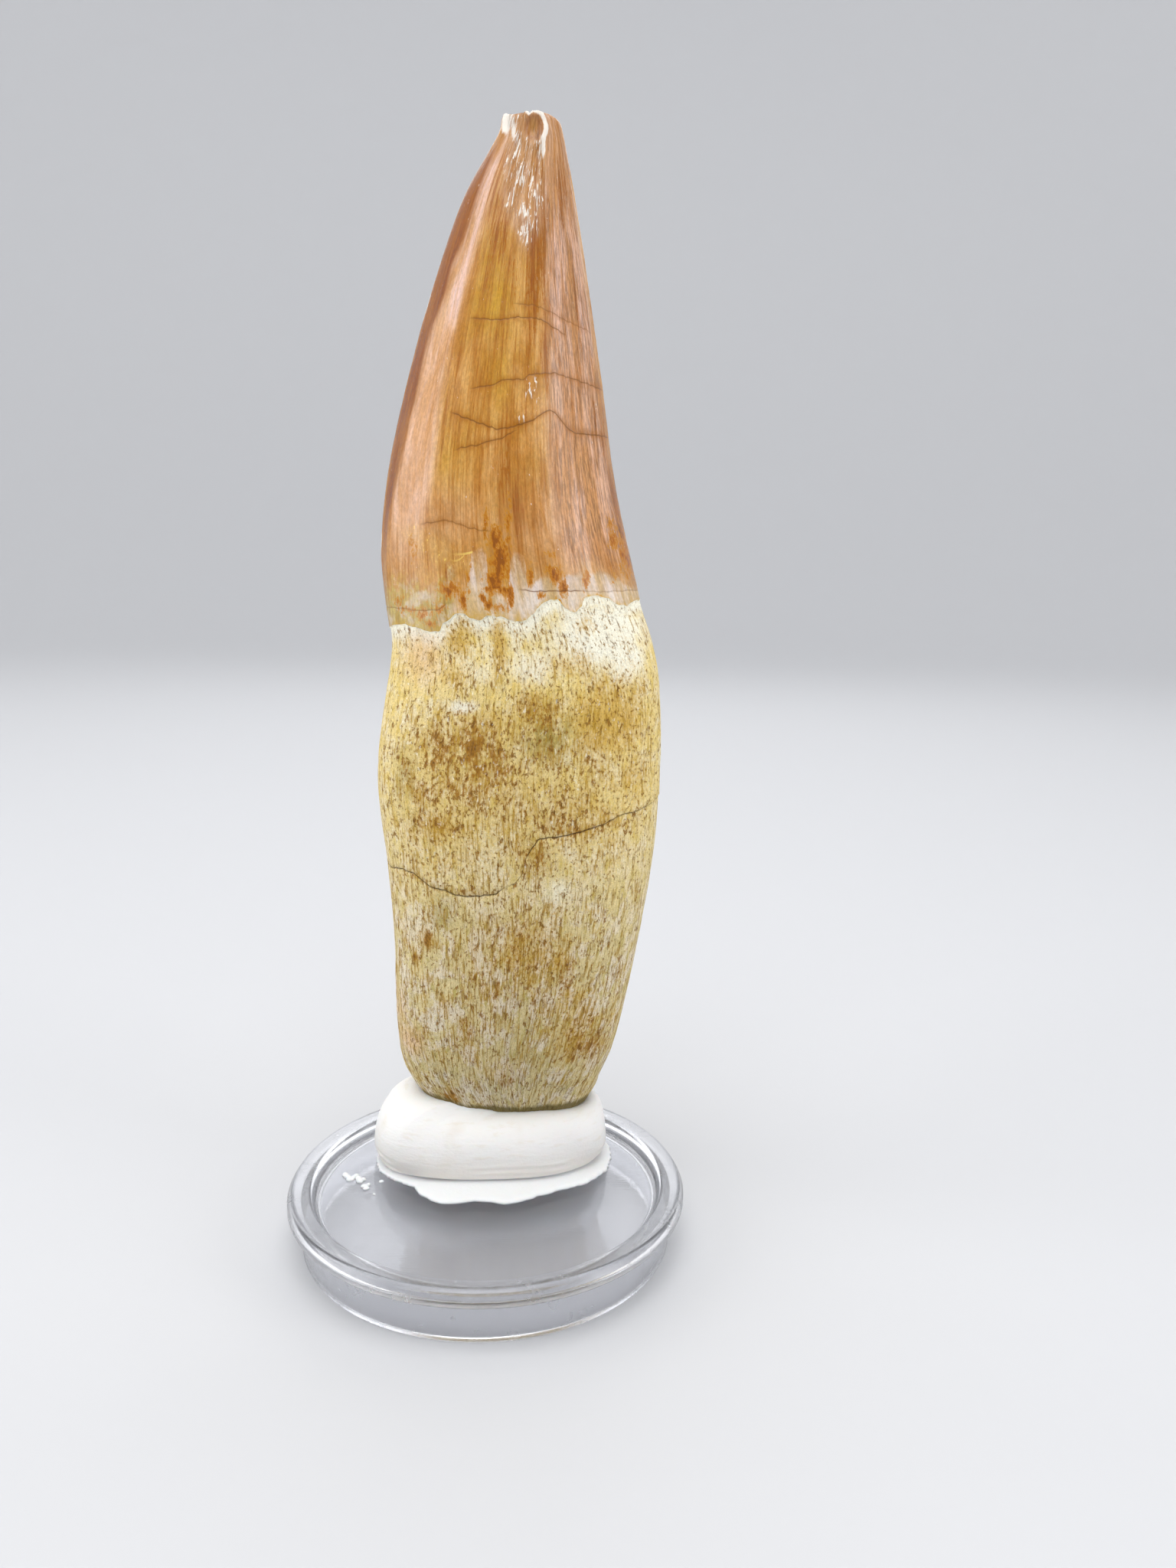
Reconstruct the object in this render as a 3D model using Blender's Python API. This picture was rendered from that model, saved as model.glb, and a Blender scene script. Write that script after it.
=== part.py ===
"""A fossil mosasaur tooth, crown and root in one, standing in a lump of white mounting putty on a clear lid.

Metres, +Z up. The origin is the centre of the lid's foot, on the surface it stands on. The wide face of the tooth
looks along -Y, and the crown curves to +X and leans back to +Y.
"""
import math

import bmesh
import bpy
from mathutils import Vector

# Clear lid, a turned shape
LID_RADIUS = 0.0200
LID_FLANGE_UNDERSIDE = 0.0042
LID_FLANGE_EDGE = 0.0008
LID_RIM_CREST = 0.0057
LID_FLOOR = 0.0046
LID_FLOOR_THICKNESS = 0.0012
LID_RIM_INNER_RADIUS = 0.0175
LID_FLOOR_FILLET = 0.0007
LID_SKIRT_RADIUS = 0.0186
LID_SKIRT_WALL = 0.0014
LID_FOOT_BEVEL = 0.0002
LID_STEPS = 72
ARC_STEPS = 4

# Tooth: its own origin is the middle of the root's lower end
TOOTH_PLACE = Vector((0.0033, 0.0070, 0.0090))
TOOTH_LENGTH = 0.1000
CROWN_START = 0.0545
ENAMEL_EDGE = 0.0534
ENAMEL_SLANT = 0.0015
ENAMEL_LEDGE = 0.00016
ENAMEL_LEDGE_WIDTH = 0.0002
ENAMEL_BLEND = 0.0060
# Height above the root's end, then the left, right, front and back of the section there
TOOTH_STATIONS = (
    (0.0000, -0.0072, 0.0056, -0.0030, 0.0032),
    (0.0010, -0.0087, 0.0070, -0.0042, 0.0044),
    (0.0030, -0.0101, 0.0080, -0.0050, 0.0053),
    (0.0050, -0.0115, 0.0089, -0.0060, 0.0062),
    (0.0080, -0.0124, 0.0100, -0.0072, 0.0072),
    (0.0140, -0.0128, 0.0114, -0.0084, 0.0082),
    (0.0200, -0.0129, 0.0124, -0.0091, 0.0088),
    (0.0270, -0.0135, 0.0134, -0.0097, 0.0094),
    (0.0360, -0.0144, 0.0140, -0.0102, 0.0098),
    (0.0430, -0.0138, 0.0140, -0.0100, 0.0096),
    (0.0480, -0.0130, 0.0136, -0.0094, 0.0091),
    (0.0510, -0.0128, 0.0129, -0.0088, 0.0087),
    (0.0545, -0.0133, 0.0116, -0.0084, 0.0086),
    (0.0585, -0.0139, 0.0108, -0.0083, 0.0088),
    (0.0660, -0.0132, 0.0090, -0.0074, 0.0089),
    (0.0760, -0.0110, 0.0075, -0.0053, 0.0083),
    (0.0860, -0.0081, 0.0059, -0.0026, 0.0074),
    (0.0930, -0.0055, 0.0047, -0.0005, 0.0067),
    (0.0965, -0.0035, 0.0040, 0.0005, 0.0062),
    (0.0985, -0.0024, 0.0036, 0.0010, 0.0058),
    (0.0996, -0.0020, 0.0029, 0.0016, 0.0052),
)
RING_SPACING = 0.0024
TOOTH_COLUMNS = 60
ROOT_BOXINESS = 0.12
CROWN_KEEL = 0.26
KEEL_FADE = 0.0050
ROOT_SWELL = 0.00035
ROOT_SWELL_RISE = 0.018

# Putty: a pillow pressed flat on the lid, with a thin film smeared round its foot
PUTTY_MIDDLE = Vector((0.0003, 0.0070, 0.0))
PUTTY_HALF_WIDTH = 0.0124
PUTTY_HALF_DEPTH = 0.0072
PUTTY_BOXINESS = 0.22
PUTTY_WIDEST = 0.0070
PUTTY_LIP = 0.0113
PUTTY_LIP_RISE_LEFT = 0.0010
PUTTY_CREASE = 0.90
FILM_THICKNESS = 0.0004
FILM_SHIFT = Vector((0.0005, 0.0, 0.0))
FILM_HALF_WIDTH = 0.0123
FILM_SPREAD_FRONT = 0.0036
PUTTY_COLUMNS = 48
PUTTY_QUARTER_RINGS = 4
SOCKET_RINGS = 4

# Neighbouring solids keep this far apart
GAP = 0.0003


def clear_scene():
    for old in list(bpy.data.objects):
        bpy.data.objects.remove(old)


def plain_material(name, colour, roughness, transmission=0.0):
    material = bpy.data.materials.new(name)
    material.use_nodes = True
    shader = material.node_tree.nodes["Principled BSDF"]
    shader.inputs["Base Color"].default_value = (*colour, 1.0)
    shader.inputs["Roughness"].default_value = roughness
    shader.inputs["Metallic"].default_value = 0.0
    shader.inputs["Transmission Weight"].default_value = transmission
    return material


def add_object(name, bm, material, sharp_angle=math.radians(40)):
    """Makes a scene object of the mesh, with smooth faces and creases only at its hard edges."""
    mesh = bpy.data.meshes.new(name)
    bm.to_mesh(mesh)
    bm.free()
    mesh.shade_smooth()
    mesh.set_sharp_from_angle(angle=sharp_angle)
    mesh.materials.append(material)
    obj = bpy.data.objects.new(name, mesh)
    bpy.context.scene.collection.objects.link(obj)
    return obj


def signed_power(value, power):
    return math.copysign(abs(value) ** power, value)


def ease(low, high, value):
    """0 below low, 1 above high and a smooth rise between."""
    share = min(1.0, max(0.0, (value - low) / (high - low)))
    return share * share * (3 - 2 * share)


def loft(rings, first_pole, last_pole):
    """A closed mesh through rings of equally many points, closed by a fan of faces at each end."""
    bm = bmesh.new()
    loops = []
    for ring in rings:
        verts = [bm.verts.new(point) for point in ring]
        loops.append([bm.edges.new(pair) for pair in zip(verts, verts[1:] + verts[:1])])
    for lower, upper in zip(loops, loops[1:]):
        bmesh.ops.bridge_loops(bm, edges=lower + upper)
    for loop, pole in ((loops[0], first_pole), (loops[-1], last_pole)):
        cap = bmesh.ops.contextual_create(bm, geom=loop)["faces"]
        tip = bmesh.ops.poke(bm, faces=cap)["verts"][0]
        tip.co = pole
    bmesh.ops.recalc_face_normals(bm, faces=bm.faces)
    return bm


def tooth_extents(height):
    """Left, right, front and back of the tooth at a height, on smooth curves through the stations."""
    stations = TOOTH_STATIONS
    last = len(stations) - 1
    height = min(max(height, stations[0][0]), stations[last][0])
    i = max(k for k in range(last) if stations[k][0] <= height)
    start, end = stations[i], stations[i + 1]
    before, after = stations[max(i - 1, 0)], stations[min(i + 2, last)]
    span = end[0] - start[0]
    t = (height - start[0]) / span
    extents = []
    for side in range(1, 5):
        slope_in = (end[side] - before[side]) / (end[0] - before[0]) * span
        slope_out = (after[side] - start[side]) / (after[0] - start[0]) * span
        extents.append(
            start[side] * (2 * t**3 - 3 * t**2 + 1)
            + slope_in * (t**3 - 2 * t**2 + t)
            + end[side] * (3 * t**2 - 2 * t**3)
            + slope_out * (t**3 - t**2)
        )
    return extents


def tooth_point(height, angle, grow=0.0):
    """A point of the tooth's skin in its own frame: an oval in the root, a lens with two keels in the crown."""
    left, right, front, back = tooth_extents(height)
    crown = ease(CROWN_START - KEEL_FADE, CROWN_START + KEEL_FADE, height)
    across, deep = math.cos(angle), math.sin(angle)
    swell = (1 - crown) * ROOT_SWELL * deep * math.sin(3 * angle + height / ROOT_SWELL_RISE)
    across = signed_power(across, 1 - ROOT_BOXINESS * (1 - crown))
    deep = signed_power(deep, 1 - ROOT_BOXINESS * (1 - crown) + CROWN_KEEL * crown)
    return Vector((
        (left + right) / 2 + ((right - left) / 2 + swell + grow) * across,
        (front + back) / 2 + ((back - front) / 2 + swell + grow) * deep,
        height,
    ))


def tooth_ring_heights():
    """Even steps between the stations, and two rings close together where the enamel ends."""
    heights = [TOOTH_STATIONS[0][0]]
    for station, following in zip(TOOTH_STATIONS, TOOTH_STATIONS[1:]):
        span = following[0] - station[0]
        steps = max(1, round(span / RING_SPACING))
        heights += [station[0] + span * (k + 1) / steps for k in range(steps)]
    clear = [height for height in heights if abs(height - ENAMEL_EDGE) > RING_SPACING / 3]
    return sorted(clear + [ENAMEL_EDGE - ENAMEL_LEDGE_WIDTH, ENAMEL_EDGE])


def tooth_skin(height, angle):
    """As tooth_point, with the rings near the neck slanted, and the enamel's lower edge a little proud."""
    above = height - ENAMEL_EDGE
    slant = ENAMEL_SLANT * math.cos(angle) * (1 - ease(0, ENAMEL_BLEND, abs(above)))
    proud = ENAMEL_LEDGE * (1 - ease(0, ENAMEL_BLEND, above)) if above >= 0 else 0.0
    return tooth_point(height + slant, angle, proud)


def middle(ring):
    return sum(ring, Vector()) / len(ring)


def make_tooth():
    angles = [math.tau * k / TOOTH_COLUMNS for k in range(TOOTH_COLUMNS)]
    rings = [[tooth_skin(height, angle) for angle in angles] for height in tooth_ring_heights()]
    root_end = middle(rings[0])
    worn_tip = middle(rings[-1])
    worn_tip.z = TOOTH_LENGTH
    material = plain_material("fossil", (0.62, 0.42, 0.20), 0.45)
    tooth = add_object("tooth", loft(rings, root_end, worn_tip), material)
    tooth.location = TOOTH_PLACE
    return tooth


def oval(half_width, half_depth, angle, height):
    """A point on the putty's outline, a rounded oblong, at a height above the table."""
    power = 1 - PUTTY_BOXINESS
    return PUTTY_MIDDLE + Vector((
        half_width * signed_power(math.cos(angle), power),
        half_depth * signed_power(math.sin(angle), power),
        height,
    ))


def putty_lip(angle):
    """Height of the putty's upper edge, which rises at the left end."""
    return PUTTY_LIP + PUTTY_LIP_RISE_LEFT * max(0.0, -math.cos(angle)) ** 2


def putty_profile(angle):
    """Points from the film's edge up the bulging side, over the lip and down the socket that the root stands in."""
    bottom = LID_FLOOR + GAP
    film_half_depth = PUTTY_HALF_DEPTH + FILM_SPREAD_FRONT * max(0.0, -math.sin(angle)) ** 1.5
    points = [
        FILM_SHIFT + oval(FILM_HALF_WIDTH, film_half_depth, angle, height)
        for height in (bottom, bottom + FILM_THICKNESS / 2)
    ]
    crease = oval(
        PUTTY_HALF_WIDTH * PUTTY_CREASE, PUTTY_HALF_DEPTH * PUTTY_CREASE, angle, bottom + FILM_THICKNESS
    )
    lip_height = putty_lip(angle) - TOOTH_PLACE.z
    socket = [
        TOOTH_PLACE + tooth_point(lip_height * (1 - k / SOCKET_RINGS), angle, GAP) - Vector((0, 0, GAP))
        for k in range(SOCKET_RINGS + 1)
    ]
    widest = oval(PUTTY_HALF_WIDTH, PUTTY_HALF_DEPTH, angle, PUTTY_WIDEST)
    for k in range(-PUTTY_QUARTER_RINGS, PUTTY_QUARTER_RINGS):
        turn = math.pi / 2 * k / PUTTY_QUARTER_RINGS
        inner = crease if k < 0 else socket[0]
        point = inner.lerp(widest, math.cos(turn))
        point.z = widest.z + (inner.z - widest.z) * abs(math.sin(turn))
        points.append(point)
    return points + socket


def make_putty():
    profiles = [putty_profile(math.tau * k / PUTTY_COLUMNS) for k in range(PUTTY_COLUMNS)]
    rings = list(zip(*profiles))
    material = plain_material("white_putty", (0.83, 0.81, 0.76), 0.6)
    return add_object("mounting_putty", loft(rings, middle(rings[0]), middle(rings[-1])), material)


def arc(centre, radius, start, end):
    """Points on a circle in the profile's plane, from one angle to another in degrees."""
    return [
        Vector((
            centre[0] + radius * math.cos(math.radians(start + (end - start) * k / ARC_STEPS)),
            0,
            centre[1] + radius * math.sin(math.radians(start + (end - start) * k / ARC_STEPS)),
        ))
        for k in range(ARC_STEPS + 1)
    ]


def lid_profile():
    """Half section from the middle of the floor, over the rim, down the skirt and back in underneath."""
    fillet = LID_FLOOR_FILLET
    underside = LID_FLOOR - LID_FLOOR_THICKNESS
    skirt_inside = LID_SKIRT_RADIUS - LID_SKIRT_WALL
    rim_half_width = (LID_RADIUS - LID_RIM_INNER_RADIUS) / 2
    rim_middle = (LID_RADIUS + LID_RIM_INNER_RADIUS) / 2
    rim_shoulder = LID_FLANGE_UNDERSIDE + LID_FLANGE_EDGE
    rim_rise = LID_RIM_CREST - rim_shoulder
    points = [Vector((0, 0, LID_FLOOR))]
    points += arc((LID_RIM_INNER_RADIUS - fillet, LID_FLOOR + fillet), fillet, -90, -30)
    rim = arc((0, 0), 1, 150, 0)
    points += [Vector((rim_middle + p.x * rim_half_width, 0, rim_shoulder + p.z * rim_rise)) for p in rim]
    points.append(Vector((LID_RADIUS, 0, LID_FLANGE_UNDERSIDE)))
    points.append(Vector((LID_SKIRT_RADIUS, 0, LID_FLANGE_UNDERSIDE)))
    points.append(Vector((LID_SKIRT_RADIUS, 0, LID_FOOT_BEVEL)))
    points.append(Vector((LID_SKIRT_RADIUS - LID_FOOT_BEVEL, 0, 0)))
    points.append(Vector((skirt_inside + LID_FOOT_BEVEL, 0, 0)))
    points.append(Vector((skirt_inside, 0, LID_FOOT_BEVEL)))
    points += arc((skirt_inside - fillet, underside - fillet), fillet, 0, 90)
    points.append(Vector((0, 0, underside)))
    return points


def make_lid():
    bm = bmesh.new()
    verts = [bm.verts.new(point) for point in lid_profile()]
    for pair in zip(verts, verts[1:]):
        bm.edges.new(pair)
    material = plain_material("clear_plastic", (0.93, 0.95, 0.98), 0.05, transmission=1.0)
    lid = add_object("clear_lid", bm, material)
    turn = lid.modifiers.new("Turn", "SCREW")
    turn.steps = LID_STEPS
    turn.render_steps = LID_STEPS
    turn.use_merge_vertices = True
    turn.merge_threshold = 0.00001
    return lid


def main():
    clear_scene()
    make_lid()
    make_putty()
    make_tooth()


main()
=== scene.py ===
# %% [markdown]
# # A fossil mosasaur tooth on its stand
#
# The real object is a tooth about 10 cm tall: a glossy brown enamel crown on a thick root of porous bone,
# set in white putty on a clear plastic lid. A frame of three plain solids gives every size and place, and
# this file dresses each solid with a detailed piece.

# %% The frame of plain solids
import math

import bpy
import numpy as np
from mathutils import Matrix, Vector


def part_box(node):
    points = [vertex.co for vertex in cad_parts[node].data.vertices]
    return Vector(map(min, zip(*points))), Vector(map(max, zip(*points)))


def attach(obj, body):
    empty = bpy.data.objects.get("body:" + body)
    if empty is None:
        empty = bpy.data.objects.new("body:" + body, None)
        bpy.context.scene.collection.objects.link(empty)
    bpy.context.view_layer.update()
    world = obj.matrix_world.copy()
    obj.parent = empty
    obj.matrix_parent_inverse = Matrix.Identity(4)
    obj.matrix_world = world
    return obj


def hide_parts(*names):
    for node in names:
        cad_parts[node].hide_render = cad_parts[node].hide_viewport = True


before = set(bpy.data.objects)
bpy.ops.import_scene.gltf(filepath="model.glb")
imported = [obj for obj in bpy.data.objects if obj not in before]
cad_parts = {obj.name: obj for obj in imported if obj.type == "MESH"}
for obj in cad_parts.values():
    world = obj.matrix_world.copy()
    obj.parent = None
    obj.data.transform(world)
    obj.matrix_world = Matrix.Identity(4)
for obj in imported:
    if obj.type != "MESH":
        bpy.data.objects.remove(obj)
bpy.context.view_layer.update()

# %% [markdown]
# Sizes are in millimetres where that reads better, and one value turns them into metres. A sharp border
# between two surfaces is softened by SHARP to either side. The helpers pick an object, finish a mesh, and
# rise or fall smoothly between 0 and 1.

# %% Units and small helpers
MM = 0.001
SHARP = 0.02 * MM


def pick(obj):
    """Selects one object alone and makes it the active one."""
    bpy.ops.object.select_all(action="DESELECT")
    obj.select_set(True)
    bpy.context.view_layer.objects.active = obj


def set_mode(mode):
    bpy.ops.object.mode_set(mode=mode)


def finish_mesh():
    """Turns all faces outward, leaves edit mode and shades smoothly."""
    bpy.ops.mesh.select_all(action="SELECT")
    bpy.ops.mesh.normals_make_consistent(inside=False)
    set_mode("OBJECT")
    bpy.ops.object.shade_smooth()


def rise(low, high, value):
    """0 below low, 1 above high, and a smooth rise between."""
    share = np.clip((value - low) / (high - low), 0, 1)
    return share * share * (3 - 2 * share)


def fall(low, high, value):
    """1 below low, 0 above high, and a smooth fall between."""
    return 1 - rise(low, high, value)


# %% [markdown]
# ## The camera
#
# The photo was taken by hand from very near, with a wide lens. The lid's rings give the camera's place: 11
# cm in front of the lid's middle and 7 cm up, turned a little right, pitched down and tilted by one degree.

# %% The camera at the photo's place
PHOTO_SIZE = (1536, 2048)
PHOTO_FOCAL_PIXELS = 1538
SENSOR = 36
CAMERA_PLACE = Vector((0, -111.2, 68.2)) * MM
CAMERA_DOWN = math.radians(11)
CAMERA_RIGHT = math.radians(4.9)
CAMERA_TILT = math.radians(1.09)

bpy.ops.object.camera_add()
camera = bpy.context.object
camera.name = "photo_camera"
camera.data.sensor_width = SENSOR
camera.data.lens = SENSOR * PHOTO_FOCAL_PIXELS / max(PHOTO_SIZE)
camera.data.clip_start = 0.005
turned = Matrix.Rotation(-CAMERA_RIGHT, 4, "Z")
pitched = Matrix.Rotation(math.radians(90) - CAMERA_DOWN, 4, "X")
tilted = Matrix.Rotation(CAMERA_TILT, 4, "Z")
camera.matrix_world = Matrix.Translation(CAMERA_PLACE) @ turned @ pitched @ tilted
bpy.context.scene.camera = camera

# %% [markdown]
# ## A turned shape
#
# The floor and the lid are turned shapes: a circle with as many points as the half section has is pulled
# onto it, opened at the axis, and spun.

# %% Spin a half section
MERGE = 0.005 * MM


def spin_section(name, section, steps):
    """A turned object from a line of points of x and z in metres that starts on the axis."""
    bpy.ops.object.select_all(action="DESELECT")
    bpy.ops.mesh.primitive_circle_add(vertices=len(section), fill_type="NOTHING")
    obj = bpy.context.object
    obj.name = name
    for vertex, (place_x, place_z) in zip(obj.data.vertices, section):
        vertex.co = (place_x, 0, place_z)
    set_mode("EDIT")
    bpy.ops.mesh.select_mode(type="EDGE")
    bpy.ops.mesh.select_all(action="DESELECT")
    set_mode("OBJECT")
    for edge in obj.data.edges:
        edge.select = set(edge.vertices) == {0, len(section) - 1}
    set_mode("EDIT")
    bpy.ops.mesh.delete(type="EDGE")
    bpy.ops.mesh.select_all(action="SELECT")
    bpy.ops.mesh.spin(steps=steps, angle=math.tau, center=(0, 0, 0), axis=(0, 0, 1))
    bpy.ops.mesh.select_all(action="SELECT")
    bpy.ops.mesh.remove_doubles(threshold=MERGE)
    finish_mesh()
    return obj


# %% [markdown]
# ## Building materials from nodes
#
# Each finish is a small tree of nodes, and a new material becomes the tree in hand. One helper adds a node
# to it, sets its sockets from numbers or other nodes, and gives back its output. The rest give it short
# names.

# %% The material in hand and its nodes


def new_material(name, roughness, **sockets):
    """A Principled material. Values that are the same all over are set on its own sockets."""
    material = bpy.data.materials.new(name)
    material.use_nodes = True
    shader = material.node_tree.nodes["Principled BSDF"]
    shader.inputs["Roughness"].default_value = roughness
    for socket, value in sockets.items():
        shader.inputs[socket.replace("_", " ")].default_value = value
    return material, material.node_tree, shader


def feed(socket, value):
    """Links a node's output to a socket, or sets the socket to a plain value."""
    if isinstance(value, bpy.types.NodeSocket):
        tree.links.new(value, socket)
    elif isinstance(value, tuple) and socket.type == "RGBA":
        socket.default_value = (*value, 1)
    else:
        socket.default_value = value


def node(kind, output, sockets, **settings):
    """Adds a node to the tree in hand, with its settings and sockets, and gives back one of its outputs."""
    made = tree.nodes.new("ShaderNode" + kind)
    for name, value in settings.items():
        setattr(made, name, value)
    for socket, value in sockets.items():
        feed(made.inputs[socket], value)
    return made.outputs[output]


# %% Places and patterns


def stored(name, kind="Fac"):
    """What the mesh stores at each point under a name: a number, or with Vector a place."""
    return node("Attribute", kind, {}, attribute_name=name)


def object_place():
    return node("TexCoord", "Object", {})


def part_of(place, axis):
    return node("SeparateXYZ", axis, {0: place})


def away_from(place, point):
    """Distance in metres from a point."""
    return node("VectorMath", "Value", {0: place, 1: point}, operation="DISTANCE")


def stretch(place, scale, lean=0):
    """Stretches a pattern along z by a small z scale, and leans it sideways by an angle."""
    return node("Mapping", "Vector", {"Vector": place, "Scale": scale, "Rotation": (0, lean, 0)})


def noise(place, size, detail, rough, warp=0):
    """Cloudy noise with blotches of about that size in millimetres."""
    look = {"Scale": 1 / (size * MM), "Detail": detail, "Roughness": rough, "Distortion": warp}
    return node("TexNoise", "Fac", {"Vector": place, **look})


# %% Sums, ranges, colours and bumps


def calc(operation, first, second=0):
    return node("Math", "Value", {0: first, 1: second}, operation=operation)


def times(first, second):
    return calc("MULTIPLY", first, second)


def total(first, *shares):
    """The first number plus a share of each of the others."""
    for other, share in shares:
        first = calc("ADD", first, times(other, share))
    return first


def ramp(value, low, high, bottom=0, top=1, kind="SMOOTHSTEP"):
    """Turns the range low to high into bottom to top, in a soft curve or a straight line."""
    limits = {"From Min": low, "From Max": high, "To Min": bottom, "To Max": top}
    return node("MapRange", "Result", {"Value": value, **limits}, interpolation_type=kind)


def blend(amount, under, over, mode="MIX"):
    """Lays one colour over another by an amount from 0 to 1."""
    return node("Mix", 2, {"Factor": amount, 6: under, 7: over}, data_type="RGBA", blend_type=mode)


def layered(colour, *layers):
    """Lays colours on one another. A layer is an amount, a colour and, if not plain, a way of mixing."""
    for amount, over, *mode in layers:
        colour = blend(amount, colour, over, *mode)
    return colour


def dress(colour, *bumps):
    """Gives the material in hand a colour, and bumps, each a height and its depth in millimetres."""
    feed(shader.inputs["Base Color"], colour)
    surface = {}
    for height, depth in bumps:
        surface = {"Normal": node("Bump", "Normal", {"Height": height, "Distance": depth * MM, **surface})}
    feed(shader.inputs["Normal"], surface["Normal"])


# %% [markdown]
# ## Floor and light
#
# A pale floor curves up far away on all sides, so no view shows an edge. The crown is glossy, so each soft
# light shows on it as a long soft strip: the left light shines on the pale strip down its left side, which is
# also painted into the enamel as a highlight. A dim even sky fills the rest.

# %% Floor and soft lights
FLOOR_FLAT = 0.8
FLOOR_CURVE = 0.9
FLOOR_WALL = 1.8
FLOOR_DROP = 0.05 * MM
FLOOR_COLOUR = (0.58, 0.585, 0.6)
SKY_COLOUR = (0.94, 0.96, 1, 1)
SKY_STRENGTH = 0.36

bpy.context.scene.view_settings.view_transform = "Standard"
bends = [math.radians(6 * k) for k in range(16)]
sweep = [(FLOOR_FLAT + FLOOR_CURVE * math.sin(bend), FLOOR_CURVE * (1 - math.cos(bend))) for bend in bends]
floor = spin_section("floor", [(0, 0)] + sweep + [(FLOOR_FLAT + FLOOR_CURVE, FLOOR_WALL)], 96)
floor.location.z = -FLOOR_DROP
floor_paint, tree, shader = new_material("pale_floor", 0.6)
feed(shader.inputs["Base Color"], FLOOR_COLOUR)
floor.data.materials.append(floor_paint)

sky = bpy.data.worlds.new("even_sky")
sky.use_nodes = True
sky.node_tree.nodes["Background"].inputs["Color"].default_value = SKY_COLOUR
sky.node_tree.nodes["Background"].inputs["Strength"].default_value = SKY_STRENGTH
bpy.context.scene.world = sky


def soft_light(name, place, target, size, radiance):
    """A rectangular light that shines from a place on a target, both in metres."""
    bpy.ops.object.light_add(type="AREA", location=place)
    lamp = bpy.context.object
    lamp.name = name
    lamp.data.shape = "RECTANGLE"
    lamp.data.size, lamp.data.size_y = size
    lamp.data.energy = radiance * math.pi * size[0] * size[1]
    lamp.rotation_euler = (Vector(target) - Vector(place)).to_track_quat("-Z", "Y").to_euler()


MID_TOOTH = (0.003, 0.007, 0.06)
soft_light("left_softbox", (-0.43, -0.07, 0.155), MID_TOOTH, (0.3, 0.5), 2.4)
soft_light("right_softbox", (0.41, -0.185, 0.1), MID_TOOTH, (0.2, 0.5), 3.2)
soft_light("top_softbox", (-0.045, -0.24, 0.61), MID_TOOTH, (0.45, 0.35), 2.8)
soft_light("back_softbox", (0.05, 0.45, 0.34), MID_TOOTH, (0.44, 0.24), 1.3)

# %% Soft light washed over the far walls
WASH_PLACE, WASH_HEIGHT = 0.85, 1.9
WALL_PLACE, WALL_HEIGHT = 1.9, 0.7
WASH_LONG, WASH_SHORT = 2.4, 0.5
for name, way_x, way_y, radiance in (
    ("back_wall_wash", 0, 1, 3.9), ("front_wall_wash", 0, -1, 2.4),
    ("left_wall_wash", -1, 0, 2.2), ("right_wall_wash", 1, 0, 2.2),
):
    place = (way_x * WASH_PLACE, way_y * WASH_PLACE, WASH_HEIGHT)
    target = (way_x * WALL_PLACE, way_y * WALL_PLACE, WALL_HEIGHT)
    soft_light(name, place, target, (WASH_LONG, WASH_SHORT) if way_y else (WASH_SHORT, WASH_LONG), radiance)

# %% [markdown]
# ## The tooth's form, measured from its solid
#
# The solid has the tooth's true outline, but coarse faces. It is cut at many heights, and for each cut the
# middle and the radius in every direction are kept, for a fine grid to wrap round. A little smoothing takes
# the coarse faces out and leaves the two sharp keels.

# %% Slice the solid into rings of radii
SLICE_STEP = 0.4 * MM
DIRECTIONS = 320
KEEL_KEEP = math.radians(9)
SMOOTH_TURN = math.radians(3.2)
SMOOTH_HEIGHT = 1.1 * MM
FIRST_CUT = 0.1 * MM
LAST_CUT = 0.5 * MM

tooth_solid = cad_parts["tooth"]
low_corner, high_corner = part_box("tooth")
corners = np.array([v.co for v in tooth_solid.data.vertices])
edge_ends = corners[np.array([edge.vertices[:] for edge in tooth_solid.data.edges])]
slice_heights = np.arange(low_corner.z + FIRST_CUT, high_corner.z - LAST_CUT, SLICE_STEP)
turns = (np.arange(DIRECTIONS) + 0.5) / DIRECTIONS * math.tau + math.pi / 2


def cut_at(height):
    """Points where the solid's edges cross a height."""
    start, end = edge_ends[:, 0], edge_ends[:, 1]
    crossing = (start[:, 2] - height) * (end[:, 2] - height) < 0
    start, end = start[crossing], end[crossing]
    share = (height - start[:, 2]) / (end[:, 2] - start[:, 2])
    return start + (end - start) * share[:, None]


def soften(values, sigma, wrap=False):
    """A running average along the first axis, weighted by a bell curve of that width in samples."""
    reach = int(3 * sigma) + 1
    weights = np.exp(-0.5 * (np.arange(-reach, reach + 1) / sigma) ** 2)
    weights /= weights.sum()
    padded = np.pad(values, [(reach, reach)] + [(0, 0)] * (values.ndim - 1), mode="wrap" if wrap else "edge")
    return sum(weight * padded[k:k + len(values)] for k, weight in enumerate(weights))


middles, widths, radii = [], [], []
for slice_height in slice_heights:
    ring = cut_at(slice_height)
    left, right = ring[ring[:, 0].argmin()], ring[ring[:, 0].argmax()]
    middles.append((left + right)[:2] / 2)
    widths.append((right[0] - left[0]) / 2)
middles = soften(np.array(middles), SMOOTH_HEIGHT / SLICE_STEP)
widths = soften(np.array(widths), SMOOTH_HEIGHT / SLICE_STEP)
for slice_height, middle in zip(slice_heights, middles):
    spokes = cut_at(slice_height)[:, :2] - middle
    angles = np.arctan2(spokes[:, 1], spokes[:, 0])
    order = angles.argsort()
    lengths = np.hypot(spokes[:, 0], spokes[:, 1])
    radii.append(np.interp(turns, angles[order], lengths[order], period=math.tau))
radii = soften(np.array(radii), SMOOTH_HEIGHT / SLICE_STEP)
rounded = soften(radii.T, SMOOTH_TURN / (math.tau / DIRECTIONS), wrap=True).T
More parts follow.
